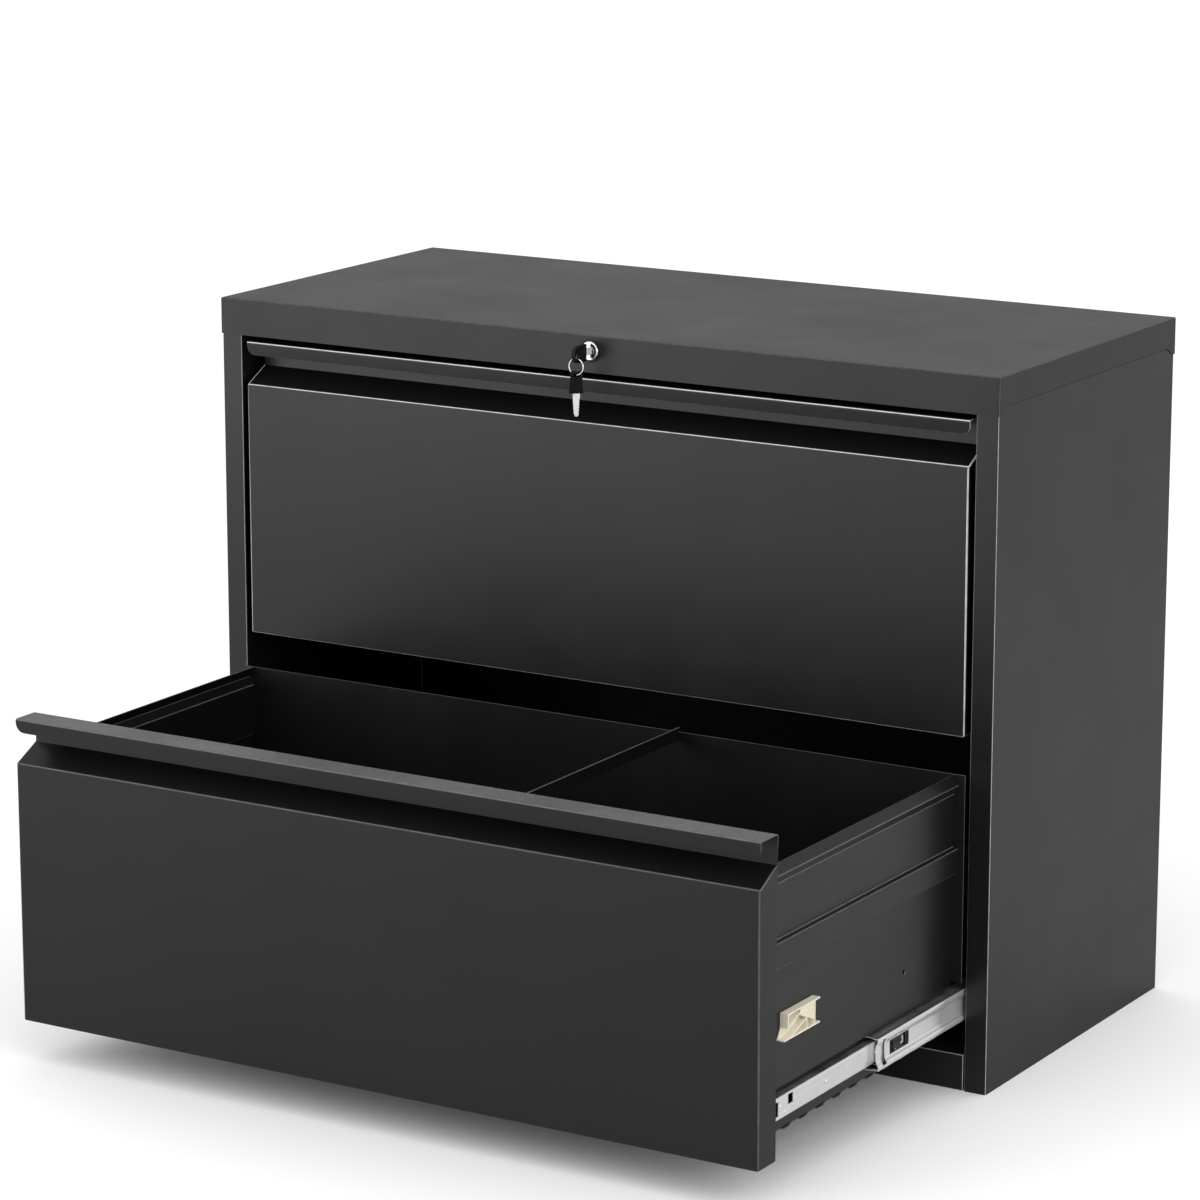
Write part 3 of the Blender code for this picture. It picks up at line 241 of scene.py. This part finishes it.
def new_material(name, **plain):
    """A Principled material with its plain sockets set."""
    material = bpy.data.materials.new(name)
    material.use_nodes = True
    shader = material.node_tree.nodes["Principled BSDF"]
    for label, value in plain.items():
        shader.inputs[label.replace("_", " ")].default_value = value
    return material, material.node_tree, shader


def connect(tree, shader, **links):
    """Link what varies over the surface to the shader's sockets of those names."""
    for label, value in links.items():
        tree.links.new(value, shader.inputs[label.replace("_", " ")])


# Shader groups


def new_group(name, inputs, *outputs):
    """A shader group with named sockets: its tree, the values it is given and the results it puts out."""
    tree = bpy.data.node_groups.new(name, "ShaderNodeTree")
    for label, value in inputs.items():
        kind = "NodeSocketVector" if isinstance(value, tuple) else "NodeSocketFloat"
        tree.interface.new_socket(label, in_out="INPUT", socket_type=kind).default_value = value
    for label in outputs:
        tree.interface.new_socket(label, in_out="OUTPUT", socket_type="NodeSocketFloat")
    return tree, add_node(tree, "NodeGroupInput").outputs, add_node(tree, "NodeGroupOutput").inputs


def use_group(tree, group, **values):
    """The results of a shader group, placed in a material with its own values."""
    inputs = {label.replace("_", " "): value for label, value in values.items()}
    return add_node(tree, "ShaderNodeGroup", inputs, node_tree=group).outputs


def facing_up(tree, normal, low, high):
    """1 on faces whose normal's height is past the higher limit, 0 on those below the lower one."""
    height = add_node(tree, "ShaderNodeSeparateXYZ", {0: normal}).outputs["Z"]
    return span(tree, height, low, high)


def build_paint_texture():
    """Orange peel of a powder coat: soft lumps with finer pimples between them."""
    tree, given, results = new_group(
        "powder_coat_texture", {"Lump Scale": 420.0, "Pimple Scale": 1500.0, "Pimple Share": 0.35},
        "Height", "Speckle")
    where = add_node(tree, "ShaderNodeTexCoord").outputs["Object"]
    lumps = noise(tree, where, given["Lump Scale"], detail=1.5)
    pimples = noise(tree, where, given["Pimple Scale"], detail=1.0)
    share = math_node(tree, "MULTIPLY", pimples, given["Pimple Share"])
    tree.links.new(math_node(tree, "ADD", lumps, share), results["Height"])
    tree.links.new(span(tree, pimples, low=0.35, high=0.7), results["Speckle"])
    return tree


def build_edge_wear_and_highlight():
    """Painted highlight, partly edge wear: a thin bright line along folds and cut edges, from the corner
    values of mark_edges, a little broken.
    """
    tree, given, results = new_group(
        "edge_wear_and_highlight", {"Gain": 1.0, "Sharpness": 4.0, "Breakup Scale": 60.0}, "Mask")
    line = add_node(tree, "ShaderNodeAttribute", attribute_name="edge").outputs["Fac"]
    thin = math_node(tree, "POWER", line, given["Sharpness"])
    where = add_node(tree, "ShaderNodeTexCoord").outputs["Object"]
    patches = noise(tree, where, given["Breakup Scale"], detail=3.0)
    breakup = span(tree, patches, low=0.3, high=0.65, out_low=0.62)
    strong = math_node(tree, "MULTIPLY", thin, given["Gain"])
    tree.links.new(math_node(tree, "MULTIPLY", strong, breakup, clamp=True), results["Mask"])
    return tree


def build_dust_and_sheen():
    """Mask of dust and painted sheen that make level faces paler: wide patches with fine flecks in them."""
    tree, given, results = new_group(
        "settled_dust_and_sheen", {"Amount": 0.5, "Patch Scale": 7.0, "Fleck Scale": 900.0}, "Mask")
    where = add_node(tree, "ShaderNodeTexCoord").outputs
    level = facing_up(tree, where["Normal"], low=0.94, high=0.99)
    patches = noise(tree, where["Object"], given["Patch Scale"], detail=4.0, rough=0.6)
    patches = span(tree, patches, low=0.3, high=0.7, out_low=0.60)
    flecks = noise(tree, where["Object"], given["Fleck Scale"], rough=0.7)
    flecks = span(tree, flecks, low=0.30, high=0.65)
    mask = math_node(tree, "MULTIPLY", level, math_node(tree, "MULTIPLY", patches, flecks))
    tree.links.new(math_node(tree, "MULTIPLY", mask, given["Amount"], clamp=True), results["Mask"])
    return tree


def build_smudges():
    """Slow change of gloss from handling and wiping."""
    tree, given, results = new_group("handling_smudges", {"Scale": 9.0, "Low": 0.0, "High": 1.0}, "Value")
    where = add_node(tree, "ShaderNodeTexCoord").outputs["Object"]
    slow = noise(tree, where, given["Scale"], detail=5.0, rough=0.62)
    gloss = span(tree, slow, low=0.3, high=0.7, out_low=given["Low"], out_high=given["High"])
    tree.links.new(gloss, results["Value"])
    return tree


def build_painted_upward_shade():
    """Mask of painted shade on faces that look up, stronger in places."""
    tree, given, results = new_group("painted_upward_shade", {"Patch Scale": 40.0}, "Mask")
    where = add_node(tree, "ShaderNodeTexCoord").outputs
    up = facing_up(tree, where["Normal"], low=0.35, high=0.75)
    patches = noise(tree, where["Object"], given["Patch Scale"], detail=3.0)
    patches = span(tree, patches, low=0.3, high=0.7, out_low=0.75)
    tree.links.new(math_node(tree, "MULTIPLY", up, patches, clamp=True), results["Mask"])
    return tree


def build_rolling_lines():
    """Fine lines along a rolled or brushed metal, with the pattern's scale given for each axis."""
    tree, given, results = new_group("rolling_lines", {"Line Scale": (900.0, 12.0, 900.0)}, "Value")
    where = add_node(tree, "ShaderNodeTexCoord").outputs["Object"]
    stretched = add_node(tree, "ShaderNodeVectorMath", {0: where, 1: given["Line Scale"]},
                         operation="MULTIPLY").outputs["Vector"]
    tree.links.new(noise(tree, stretched, scale=1.0, detail=3.0, rough=0.6), results["Value"])
    return tree


PAINT_TEXTURE = build_paint_texture()
EDGE_WEAR_AND_HIGHLIGHT = build_edge_wear_and_highlight()
DUST_AND_SHEEN = build_dust_and_sheen()
SMUDGES = build_smudges()
PAINTED_UPWARD_SHADE = build_painted_upward_shade()
ROLLING_LINES = build_rolling_lines()


# Materials


def black_powder_coat(name, shade=0.006, gloss=0.36, dust_and_sheen=0.0, rub_and_highlight=1.0, wear_and_highlight=0.50, shine=0.5):
    """Satin black powder coat on sheet steel, with its own dust and painted sheen on level faces, and its own
    wear and painted highlight along the edges.
    """
    material, tree, shader = new_material(name, Specular_IOR_Level=shine)
    texture = use_group(tree, PAINT_TEXTURE)
    edges = use_group(tree, EDGE_WEAR_AND_HIGHLIGHT, Gain=rub_and_highlight)["Mask"]
    rough = use_group(tree, SMUDGES, Low=gloss - WIPED, High=gloss + DULLED)["Value"]
    base = tint(tree, texture["Speckle"], shade * SPECKLE_DARK, shade * SPECKLE_PALE)
    # Edge wear and painted highlight along folds and cut edges
    colour = tint(tree, edges, base, (wear_and_highlight, wear_and_highlight, wear_and_highlight * WEAR_AND_HIGHLIGHT_BLUE))
    # Dust and painted sheen make level faces paler
    if dust_and_sheen:
        dust_and_sheen_mask = use_group(tree, DUST_AND_SHEEN, Amount=dust_and_sheen)["Mask"]
        colour = tint(tree, dust_and_sheen_mask, colour, DUST_AND_SHEEN_GREY)
        dry = math_node(tree, "MULTIPLY", dust_and_sheen_mask, DUST_AND_SHEEN_ROUGHNESS)
        rough = math_node(tree, "ADD", rough, dry, clamp=True)
    normal = bump(tree, texture["Height"], PEEL_STRENGTH, PEEL_DEPTH)
    connect(tree, shader, Base_Color=colour, Roughness=rough, Normal=normal)
    return material


def zinc_plate(name, colour=(0.93, 0.935, 0.94), lines=(360.0, 3.0, 360.0), gloss=0.20):
    """Bright zinc on rolled steel, with faint rolling lines, duller patches, painted shade on faces that look
    up and a painted highlight on its edges.
    """
    material, tree, shader = new_material(name)
    rolled = use_group(tree, ROLLING_LINES, Line_Scale=lines)["Value"]
    wiped = gloss - WIPED
    dulled = gloss + DULLED
    smudges = use_group(tree, SMUDGES, Scale=16.0, Low=wiped, High=dulled)["Value"]
    edges = use_group(tree, EDGE_WEAR_AND_HIGHLIGHT, Gain=0.8)["Mask"]
    streak = span(tree, rolled, low=0.35, high=0.65)
    base = tint(tree, streak, shaded(colour, STREAK_DARK), shaded(colour, STREAK_PALE))
    # Painted shade on faces that look up
    shaded_on_top = tint(tree, use_group(tree, PAINTED_UPWARD_SHADE)["Mask"], base, UPWARD_SHADE_BROWN)
    # Bare zinc and painted highlight along the edges
    bright = tint(tree, edges, shaded_on_top, ZINC_EDGE_WEAR_AND_HIGHLIGHT)
    metal = span(tree, smudges, wiped, dulled, ZINC_METAL + ZINC_METAL_SPREAD, ZINC_METAL - ZINC_METAL_SPREAD)
    rough = math_node(tree, "ADD", smudges, math_node(tree, "MULTIPLY", streak, STREAK_ROUGHNESS))
    normal = bump(tree, rolled, STREAK_RELIEF, FINE_DEPTH)
    connect(tree, shader, Base_Color=bright, Metallic=metal, Roughness=rough, Normal=normal)
    return material


def bright_chrome(name):
    """Chrome with faint wiping marks."""
    material, tree, shader = new_material(name, Metallic=1.0)
    smudges = use_group(tree, SMUDGES, Scale=140.0, Low=0.07, High=0.17)["Value"]
    colour = tint(tree, smudges, (0.90, 0.90, 0.905), (0.82, 0.82, 0.825))
    connect(tree, shader, Base_Color=colour, Roughness=smudges)
    return material


def moulded_plastic(name, colour, edge, gloss=0.42, light=0.0, shine=0.5):
    """Fine-textured moulding with a painted highlight along its edges, that may let some light in."""
    material, tree, shader = new_material(name, Subsurface_Weight=light, Specular_IOR_Level=shine)
    if light:
        shader.inputs["Subsurface Radius"].default_value = (0.002, 0.0016, 0.001)
        shader.inputs["Subsurface Scale"].default_value = 1.0
    texture = use_group(tree, PAINT_TEXTURE, Lump_Scale=PLASTIC_GRAIN * PLASTIC_LUMPS,
                        Pimple_Scale=PLASTIC_GRAIN)
    edges = use_group(tree, EDGE_WEAR_AND_HIGHLIGHT, Gain=1.0, Breakup_Scale=240.0)["Mask"]
    smudges = use_group(tree, SMUDGES, Scale=60.0, Low=gloss - PLASTIC_WIPED,
                        High=gloss + PLASTIC_DULLED)["Value"]
    base = tint(tree, texture["Speckle"], shaded(colour, PLASTIC_DARK), colour)
    normal = bump(tree, texture["Height"], PLASTIC_RELIEF, FINE_DEPTH)
    # Painted highlight along the edges
    connect(tree, shader, Base_Color=tint(tree, edges, base, edge), Roughness=smudges, Normal=normal)
    return material


CAP_COAT = black_powder_coat("cap_powder_coat", shade=0.008, gloss=0.38, dust_and_sheen=0.22, rub_and_highlight=0.3, shine=0.44)
SHELL_COAT = black_powder_coat("shell_powder_coat", gloss=0.33, rub_and_highlight=1.2, wear_and_highlight=0.62, shine=0.45)
# The upper and lower fronts are lit and shaded copies of one coat: the upper carries a stronger painted edge
# highlight, the lower more painted sheen on its level faces.
UPPER_COAT = black_powder_coat("upper_front_powder_coat", gloss=0.33, dust_and_sheen=0.05, rub_and_highlight=1.4, wear_and_highlight=0.90,
                               shine=0.45)
LOWER_COAT = black_powder_coat("lower_front_powder_coat", gloss=0.33, dust_and_sheen=1.0, wear_and_highlight=0.18, shine=0.42)
BODY_COAT = black_powder_coat("drawer_powder_coat", shade=0.005, gloss=0.34, dust_and_sheen=0.12, rub_and_highlight=0.4)
INNER_COAT = black_powder_coat("inner_powder_coat", shade=0.004, gloss=0.45, rub_and_highlight=0.5)
SLIDE_ZINC = zinc_plate("slide_zinc")
GEAR_ZINC = zinc_plate("gear_zinc", colour=(0.66, 0.66, 0.65), lines=(14.0, 900.0, 900.0), gloss=0.32)
KEY_STEEL = zinc_plate("key_steel", colour=(0.80, 0.80, 0.80), lines=(1500.0, 1500.0, 90.0), gloss=0.22)
LOCK_CHROME = bright_chrome("lock_chrome")
RING_CHROME = bright_chrome("ring_chrome")
KEY_PLASTIC = moulded_plastic("key_black_plastic", colour=(0.005, 0.005, 0.0055), edge=(0.03, 0.03, 0.03),
                              gloss=0.5, shine=0.10)
TRIM_PLASTIC = moulded_plastic("trim_black_plastic", colour=(0.006, 0.006, 0.0065), edge=(0.05, 0.05, 0.05),
                               gloss=0.3, shine=0.25)
LEVER_PLASTIC = moulded_plastic("lever_black_plastic", colour=(0.008, 0.008, 0.009), edge=(0.05, 0.05, 0.05),
                                gloss=0.35)
CLIP_PLASTIC = moulded_plastic("clip_cream_plastic", colour=(0.81, 0.755, 0.60), edge=(0.95, 0.93, 0.85),
                               light=0.05)

# Each finish, with the endings of the names of the CAD nodes that take it. All other nodes are sheets of
# the drawers, which take BODY_COAT.
FINISHES = (
    (CAP_COAT, ("top_cap",)),
    (SHELL_COAT, ("left_side_panel", "right_side_panel", "base_rail", "back_panel")),
    (INNER_COAT, ("floor_panel", "left_rear_upright", "right_rear_upright", "rod_guide")),
    (UPPER_COAT, ("upper_front",)),
    (LOWER_COAT, ("lower_front",)),
    (CLIP_PLASTIC, ("_clip",)),
    (SLIDE_ZINC, ("_member", "_cage")),
    (GEAR_ZINC, ("lock_nut", "lock_cam", "lock_rod", "lock_bar")),
    (LOCK_CHROME, ("lock_housing", "lock_plug")),
    (RING_CHROME, ("key_ring",)),
    (TRIM_PLASTIC, ("lock_trim_ring",)),
    (KEY_PLASTIC, ("key_head",)),
    (KEY_STEEL, ("key_blade",)),
)

# Hidden nodes that keep their own mesh
UNDRESSED = ("_cage", "lock_rod", "lock_bar", "lock_cam", "rod_guide", "lock_nut")


def finish_for(node):
    """The material that a CAD node takes."""
    return next((material for material, endings in FINISHES if node.endswith(endings)), BODY_COAT)


def slot_for(node):
    """The record's finish that goes with a CAD node."""
    return next(entry["material_slot"] for entry in frame["record"]["subparts"] if entry["node"] == node)


def set_material(obj, material):
    """Give an object one material in place of what it had."""
    obj.data.materials.clear()
    obj.data.materials.append(material)


# Shapes


def place_mesh(name, bm):
    """A finished mesh as an object at the origin."""
    mesh = bpy.data.meshes.new(name)
    bm.to_mesh(mesh)
    bm.free()
    obj = bpy.data.objects.new(name, mesh)
    bpy.context.scene.collection.objects.link(obj)
    return obj


def mark_edges(bm, widest, unmarked):
    """Corner values of the edge wear and painted highlight: 1 in the middle of bends, a little less on flat
    cut edges and 0 on every wide face.
    """
    layer = bm.loops.layers.float.new("edge")
    width = {face: 2 * face.calc_area() / face.calc_perimeter() for face in bm.faces}
    narrow = {face: width[face] < widest for face in bm.faces}
    for face in unmarked:
        narrow[face] = False
    for face in bm.faces:
        for loop in face.loops:
            loop[layer] = float(all(narrow[near] for near in loop.vert.link_faces))
    for edge in bm.edges:
        if edge.calc_length() > LONG_FOLD and all(narrow[face] for face in edge.link_faces):
            for loop in (loop for face in edge.link_faces for loop in face.loops):
                if loop.vert in edge.verts:
                    loop[layer] = 1.0
    for face in bm.faces:
        if width[face] > FLAT_RIM and all(loop[layer] for loop in face.loops):
            for loop in face.loops:
                loop[layer] = RIM_WEAR_AND_HIGHLIGHT


def new_piece(name, bm, body, material, slot, *stands_for, angle=40.0, unmarked=()):
    """Finish a mesh as a piece that rides on a body."""
    mark_edges(bm, FOLD_WIDTH if slot == "black_coat" else RIM_WIDTH, unmarked)
    piece = place_mesh(name, bm)
    piece.data.shade_smooth()
    piece.data.set_sharp_from_angle(angle=math.radians(angle))
    shading = piece.modifiers.new("even_shading", "WEIGHTED_NORMAL")
    shading.keep_sharp = True
    shading.weight = 90
    set_material(piece, material)
    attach(piece, body)
    if stands_for:
        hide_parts(*stands_for)


def soften_edges(bm, width):
    """Round every hard edge a little."""
    hard = [edge for edge in bm.edges
            if len(edge.link_faces) == 2 and edge.calc_face_angle(0.0) > math.radians(HARD_ANGLE)]
    bmesh.ops.bevel(bm, geom=hard, offset=width, offset_type="OFFSET", segments=2, profile=0.5,
                    affect="EDGES", clamp_overlap=True, material=-1)


def joined_copy(node):
    """A node's own shape with its loose triangles joined into flat faces."""
    bm = bmesh.new()
    bm.from_mesh(NODES[node].data)
    bmesh.ops.remove_doubles(bm, verts=bm.verts[:], dist=WELD)
    bmesh.ops.dissolve_limit(bm, angle_limit=math.radians(FLAT_ANGLE), verts=bm.verts[:], edges=bm.edges[:],
                             use_dissolve_boundaries=False, delimit=set())
    return bm


def cut_seam(bm, side):
    """A fine groove along a side panel's outer face, where the cap's skirt ends above it."""
    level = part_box("top_cap")[1].z - SIDE_SKIRT
    upright = [face for face in bm.faces
               if face.normal.x * side > FACING_OUT and face.calc_area() > OUTER_FACE_AREA]
    sheet = [max(upright, key=lambda face: face.calc_center_median().x * side)]
    for height in (level, level - SEAM_WIDTH):
        parts = dict.fromkeys(item for face in sheet for item in (*face.verts, *face.edges))
        cut = bmesh.ops.bisect_plane(bm, geom=[*parts, *sheet], dist=CUT_ACCURACY, plane_co=(0, 0, height),
                                     plane_no=(0, 0, 1), use_snap_center=False, clear_outer=False,
                                     clear_inner=False)
        sheet = [item for item in cut["geom"] if isinstance(item, bmesh.types.BMFace)]
    strip = [face for face in sheet
             if abs(face.calc_center_median().z - level + SEAM_WIDTH / 2) < SEAM_WIDTH / 2]
    walls = bmesh.ops.inset_region(bm, faces=strip, thickness=SEAM_SLOPE, depth=-SEAM_DEPTH,
                                   use_even_offset=True)["faces"]
    return strip + walls


def block(bm, low, high):
    """A block between two corners."""
    low, high = Vector(low), Vector(high)
    size = Matrix.Diagonal((*(high - low), 1.0))
    bmesh.ops.create_cube(bm, size=1.0, matrix=Matrix.Translation((low + high) / 2) @ size)


def rivet(bm, place, along, radius, height):
    """A blind rivet's head: a low dome with the hole that its pin left."""
    verts = [bm.verts.new((radius * out, 0.0, height * up)) for out, up in RIVET_OUTLINE]
    edges = [bm.edges.new(pair) for pair in zip(verts, verts[1:])]
    bmesh.ops.spin(bm, geom=verts + edges, cent=(0, 0, 0), axis=(0, 0, 1), angle=2 * math.pi,
                   steps=RIVET_STEPS, use_merge=True, dvec=(0, 0, 0))
    turn = Vector(along).to_track_quat("Z", "Y").to_matrix().to_4x4()
    fresh = [vert for vert in bm.verts if not vert.tag]
    bmesh.ops.transform(bm, matrix=Matrix.Translation(place) @ turn, verts=fresh)
    for vert in fresh:
        vert.tag = True


def rivet_piece(name, places, along, radius, height, body, material, slot):
    """Rivet heads in one piece."""
    bm = bmesh.new()
    for place in places:
        rivet(bm, place, along, radius, height)
    bmesh.ops.remove_doubles(bm, verts=bm.verts[:], dist=RIVET_WELD)
    bmesh.ops.recalc_face_normals(bm, faces=bm.faces[:])
    new_piece(name, bm, body, material, slot)


def dress_nodes():
    """Every node gets its finish; folded sheets and turned parts also get eased edges."""
    bodies = frame["record"]["behaviour"]["bodies"]
    owner = {node: body for body, members in bodies.items() for node in members}
    for node, obj in NODES.items():
        material = finish_for(node)
        set_material(obj, material)
        if node.endswith(UNDRESSED):
            continue
        bm = joined_copy(node)
        if node != "key_ring":
            soften_edges(bm, EASED_EDGE)
        seam = cut_seam(bm, SIDES[node.split("_")[0]]) if node.endswith("_side_panel") else ()
        new_piece(node + "_dressed", bm, owner[node], material, slot_for(node), node, angle=50.0,
                  unmarked=seam)


# Fittings


def fit_latch(name, blocks, easing, prefix, word, side, material, slot):
    """One part of the latch in a middle member's window."""
    low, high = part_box(prefix + "_" + word + "_middle_member")
    web = (high.x if side > 0 else low.x) - side * WEB_DEPTH
    start = low.y + WINDOW_START
    centre = (low.z + high.z) / 2
    bm = bmesh.new()
    for near, far, along, length, foot, tall in blocks:
        inner, outer = sorted((web + side * near * MM, web + side * far * MM))
        block(bm, (inner, start + along * MM, centre + foot * MM),
              (outer, start + (along + length) * MM, centre + (foot + tall) * MM))
    soften_edges(bm, easing)
    new_piece("%s_%s_%s" % (prefix, word, name), bm, prefix + "_middle_members", material, slot)


def fit_member_rivets(prefix, word, side):
    """Rivets that hold an inner member to its drawer."""
    low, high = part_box(prefix + "_" + word + "_inner_member")
    face = high.x if side > 0 else low.x
    centre = (low.z + high.z) / 2
    places = [(face, low.y + along * MM, centre + up * MM) for along, up in MEMBER_RIVETS]
    rivet_piece("%s_%s_member_rivets" % (prefix, word), places, (side, 0, 0), MEMBER_RIVET_RADIUS,
                MEMBER_RIVET_HEIGHT, prefix + "_drawer", SLIDE_ZINC, "zinc_steel")


def fit_slides():
    """Latch lever, spring and rivets of all four slides."""
    for prefix in ("lower", "upper"):
        for word, side in SIDES.items():
            fit_latch("latch_lever", LEVER_BLOCKS, LEVER_EASING, prefix, word, side, LEVER_PLASTIC,
                      "black_plastic")
            fit_latch("latch_spring", SPRING_BLOCKS, SPRING_EASING, prefix, word, side, SLIDE_ZINC,
                      "zinc_steel")
            fit_member_rivets(prefix, word, side)


def fit_back():
    """Blind rivets that hold the back panel to the side panels' flanges."""
    low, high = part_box("back_panel")
    step = (high.z - low.z - 2 * BACK_RIVET_MARGIN) / (BACK_RIVET_COUNT - 1)
    places = [(edge, high.y, low.z + BACK_RIVET_MARGIN + number * step)
              for edge in (low.x + BACK_RIVET_INSET, high.x - BACK_RIVET_INSET)
              for number in range(BACK_RIVET_COUNT)]
    rivet_piece("back_rivets", places, (0, 1, 0), BACK_RIVET_RADIUS, BACK_RIVET_HEIGHT, "cabinet",
                SHELL_COAT, "black_coat")


# Camera, floor and light


def set_camera():
    """The photographed view: from the right, a little above the cabinet's top."""
    data = bpy.data.cameras.new("camera")
    data.lens = CAMERA_LENS
    data.sensor_width = 36.0
    camera = bpy.data.objects.new("camera", data)
    camera.location = CAMERA_PLACE
    camera.rotation_euler = (math.pi / 2 - CAMERA_DIP, 0.0, CAMERA_TURN)
    bpy.context.scene.collection.objects.link(camera)
    bpy.context.scene.camera = camera


def set_world():
    """Even studio surroundings: paler towards the front, where the big diffusers stand."""
    world = bpy.data.worlds.new("studio")
    bpy.context.scene.world = world
    world.use_nodes = True
    tree = world.node_tree
    direction = add_node(tree, "ShaderNodeTexCoord").outputs["Generated"]
    depth = add_node(tree, "ShaderNodeSeparateXYZ", {0: direction}).outputs["Y"]
    in_front = span(tree, depth, low=WALL_BLEND, high=-WALL_BLEND)
    reflected = tint(tree, in_front, WALL_BEHIND, WALL_IN_FRONT)
    lit = tint(tree, seen_by(tree, "Is Glossy Ray"), WALL_LIGHT, reflected)
    colour = tint(tree, seen_by(tree, "Is Camera Ray", "Is Transmission Ray"), lit, PAPER_WHITE)
    background = tree.nodes["Background"]
    connect(tree, background, Color=colour)
    background.inputs["Strength"].default_value = 1.0


def set_floor():
    """White paper floor that keeps the cabinet's shadow and looks a plain grey in reflections."""
    bm = bmesh.new()
    bmesh.ops.create_grid(bm, x_segments=1, y_segments=1, size=FLOOR_REACH)
    floor = place_mesh("floor", bm)
    material, tree, shader = new_material("floor_paper", Roughness=0.9, Specular_IOR_Level=0.0)
    connect(tree, shader, Base_Color=tint(tree, seen_by(tree, "Is Camera Ray"), FLOOR_GREY, PAPER_WHITE))
    set_material(floor, material)


def add_light(name, data, direction, place=(0.0, 0.0, 0.0)):
    """A lamp at a place, turned to shine in a direction."""
    light = bpy.data.objects.new(name, data)
    light.location = place
    light.rotation_euler = Vector(direction).to_track_quat("-Z", "Y").to_euler()
    bpy.context.scene.collection.objects.link(light)
    return light


def add_sun(name, strength, angle, direction):
    """Soft light from one side of the sky."""
    data = bpy.data.lights.new(name, "SUN")
    data.energy = strength
    data.angle = math.radians(angle)
    add_light(name, data, direction)


def add_panel(name, radiance, width, height, place, target):
    """A flat diffuser of even brightness that faces a point."""
    data = bpy.data.lights.new(name, "AREA")
    data.shape = "RECTANGLE"
    data.size = width
    data.size_y = height
    data.energy = radiance * math.pi * width * height
    panel = add_light(name, data, Vector(target) - Vector(place), place)
    panel.visible_camera = False


def set_lights():
    """A weak light from above, a diffuser in front on the left and one on the right."""
    add_sun("overhead_light", strength=0.45, angle=90.0, direction=(-0.20, 0.25, -1.0))
    add_panel("front_diffuser", radiance=1.75, width=2.0, height=1.3, place=(-1.30, -1.85, 0.78),
              target=(0.0, 0.2, 0.78))
    add_panel("side_diffuser", radiance=2.2, width=1.4, height=1.4, place=(2.30, -0.90, 1.10),
              target=(0.4, 0.0, 0.4))


def main():
    """Set up the studio, then dress the cabinet."""
    bpy.context.scene.view_settings.view_transform = "Standard"
    set_camera()
    set_world()
    set_floor()
    set_lights()
    dress_nodes()
    fit_slides()
    fit_back()


main()
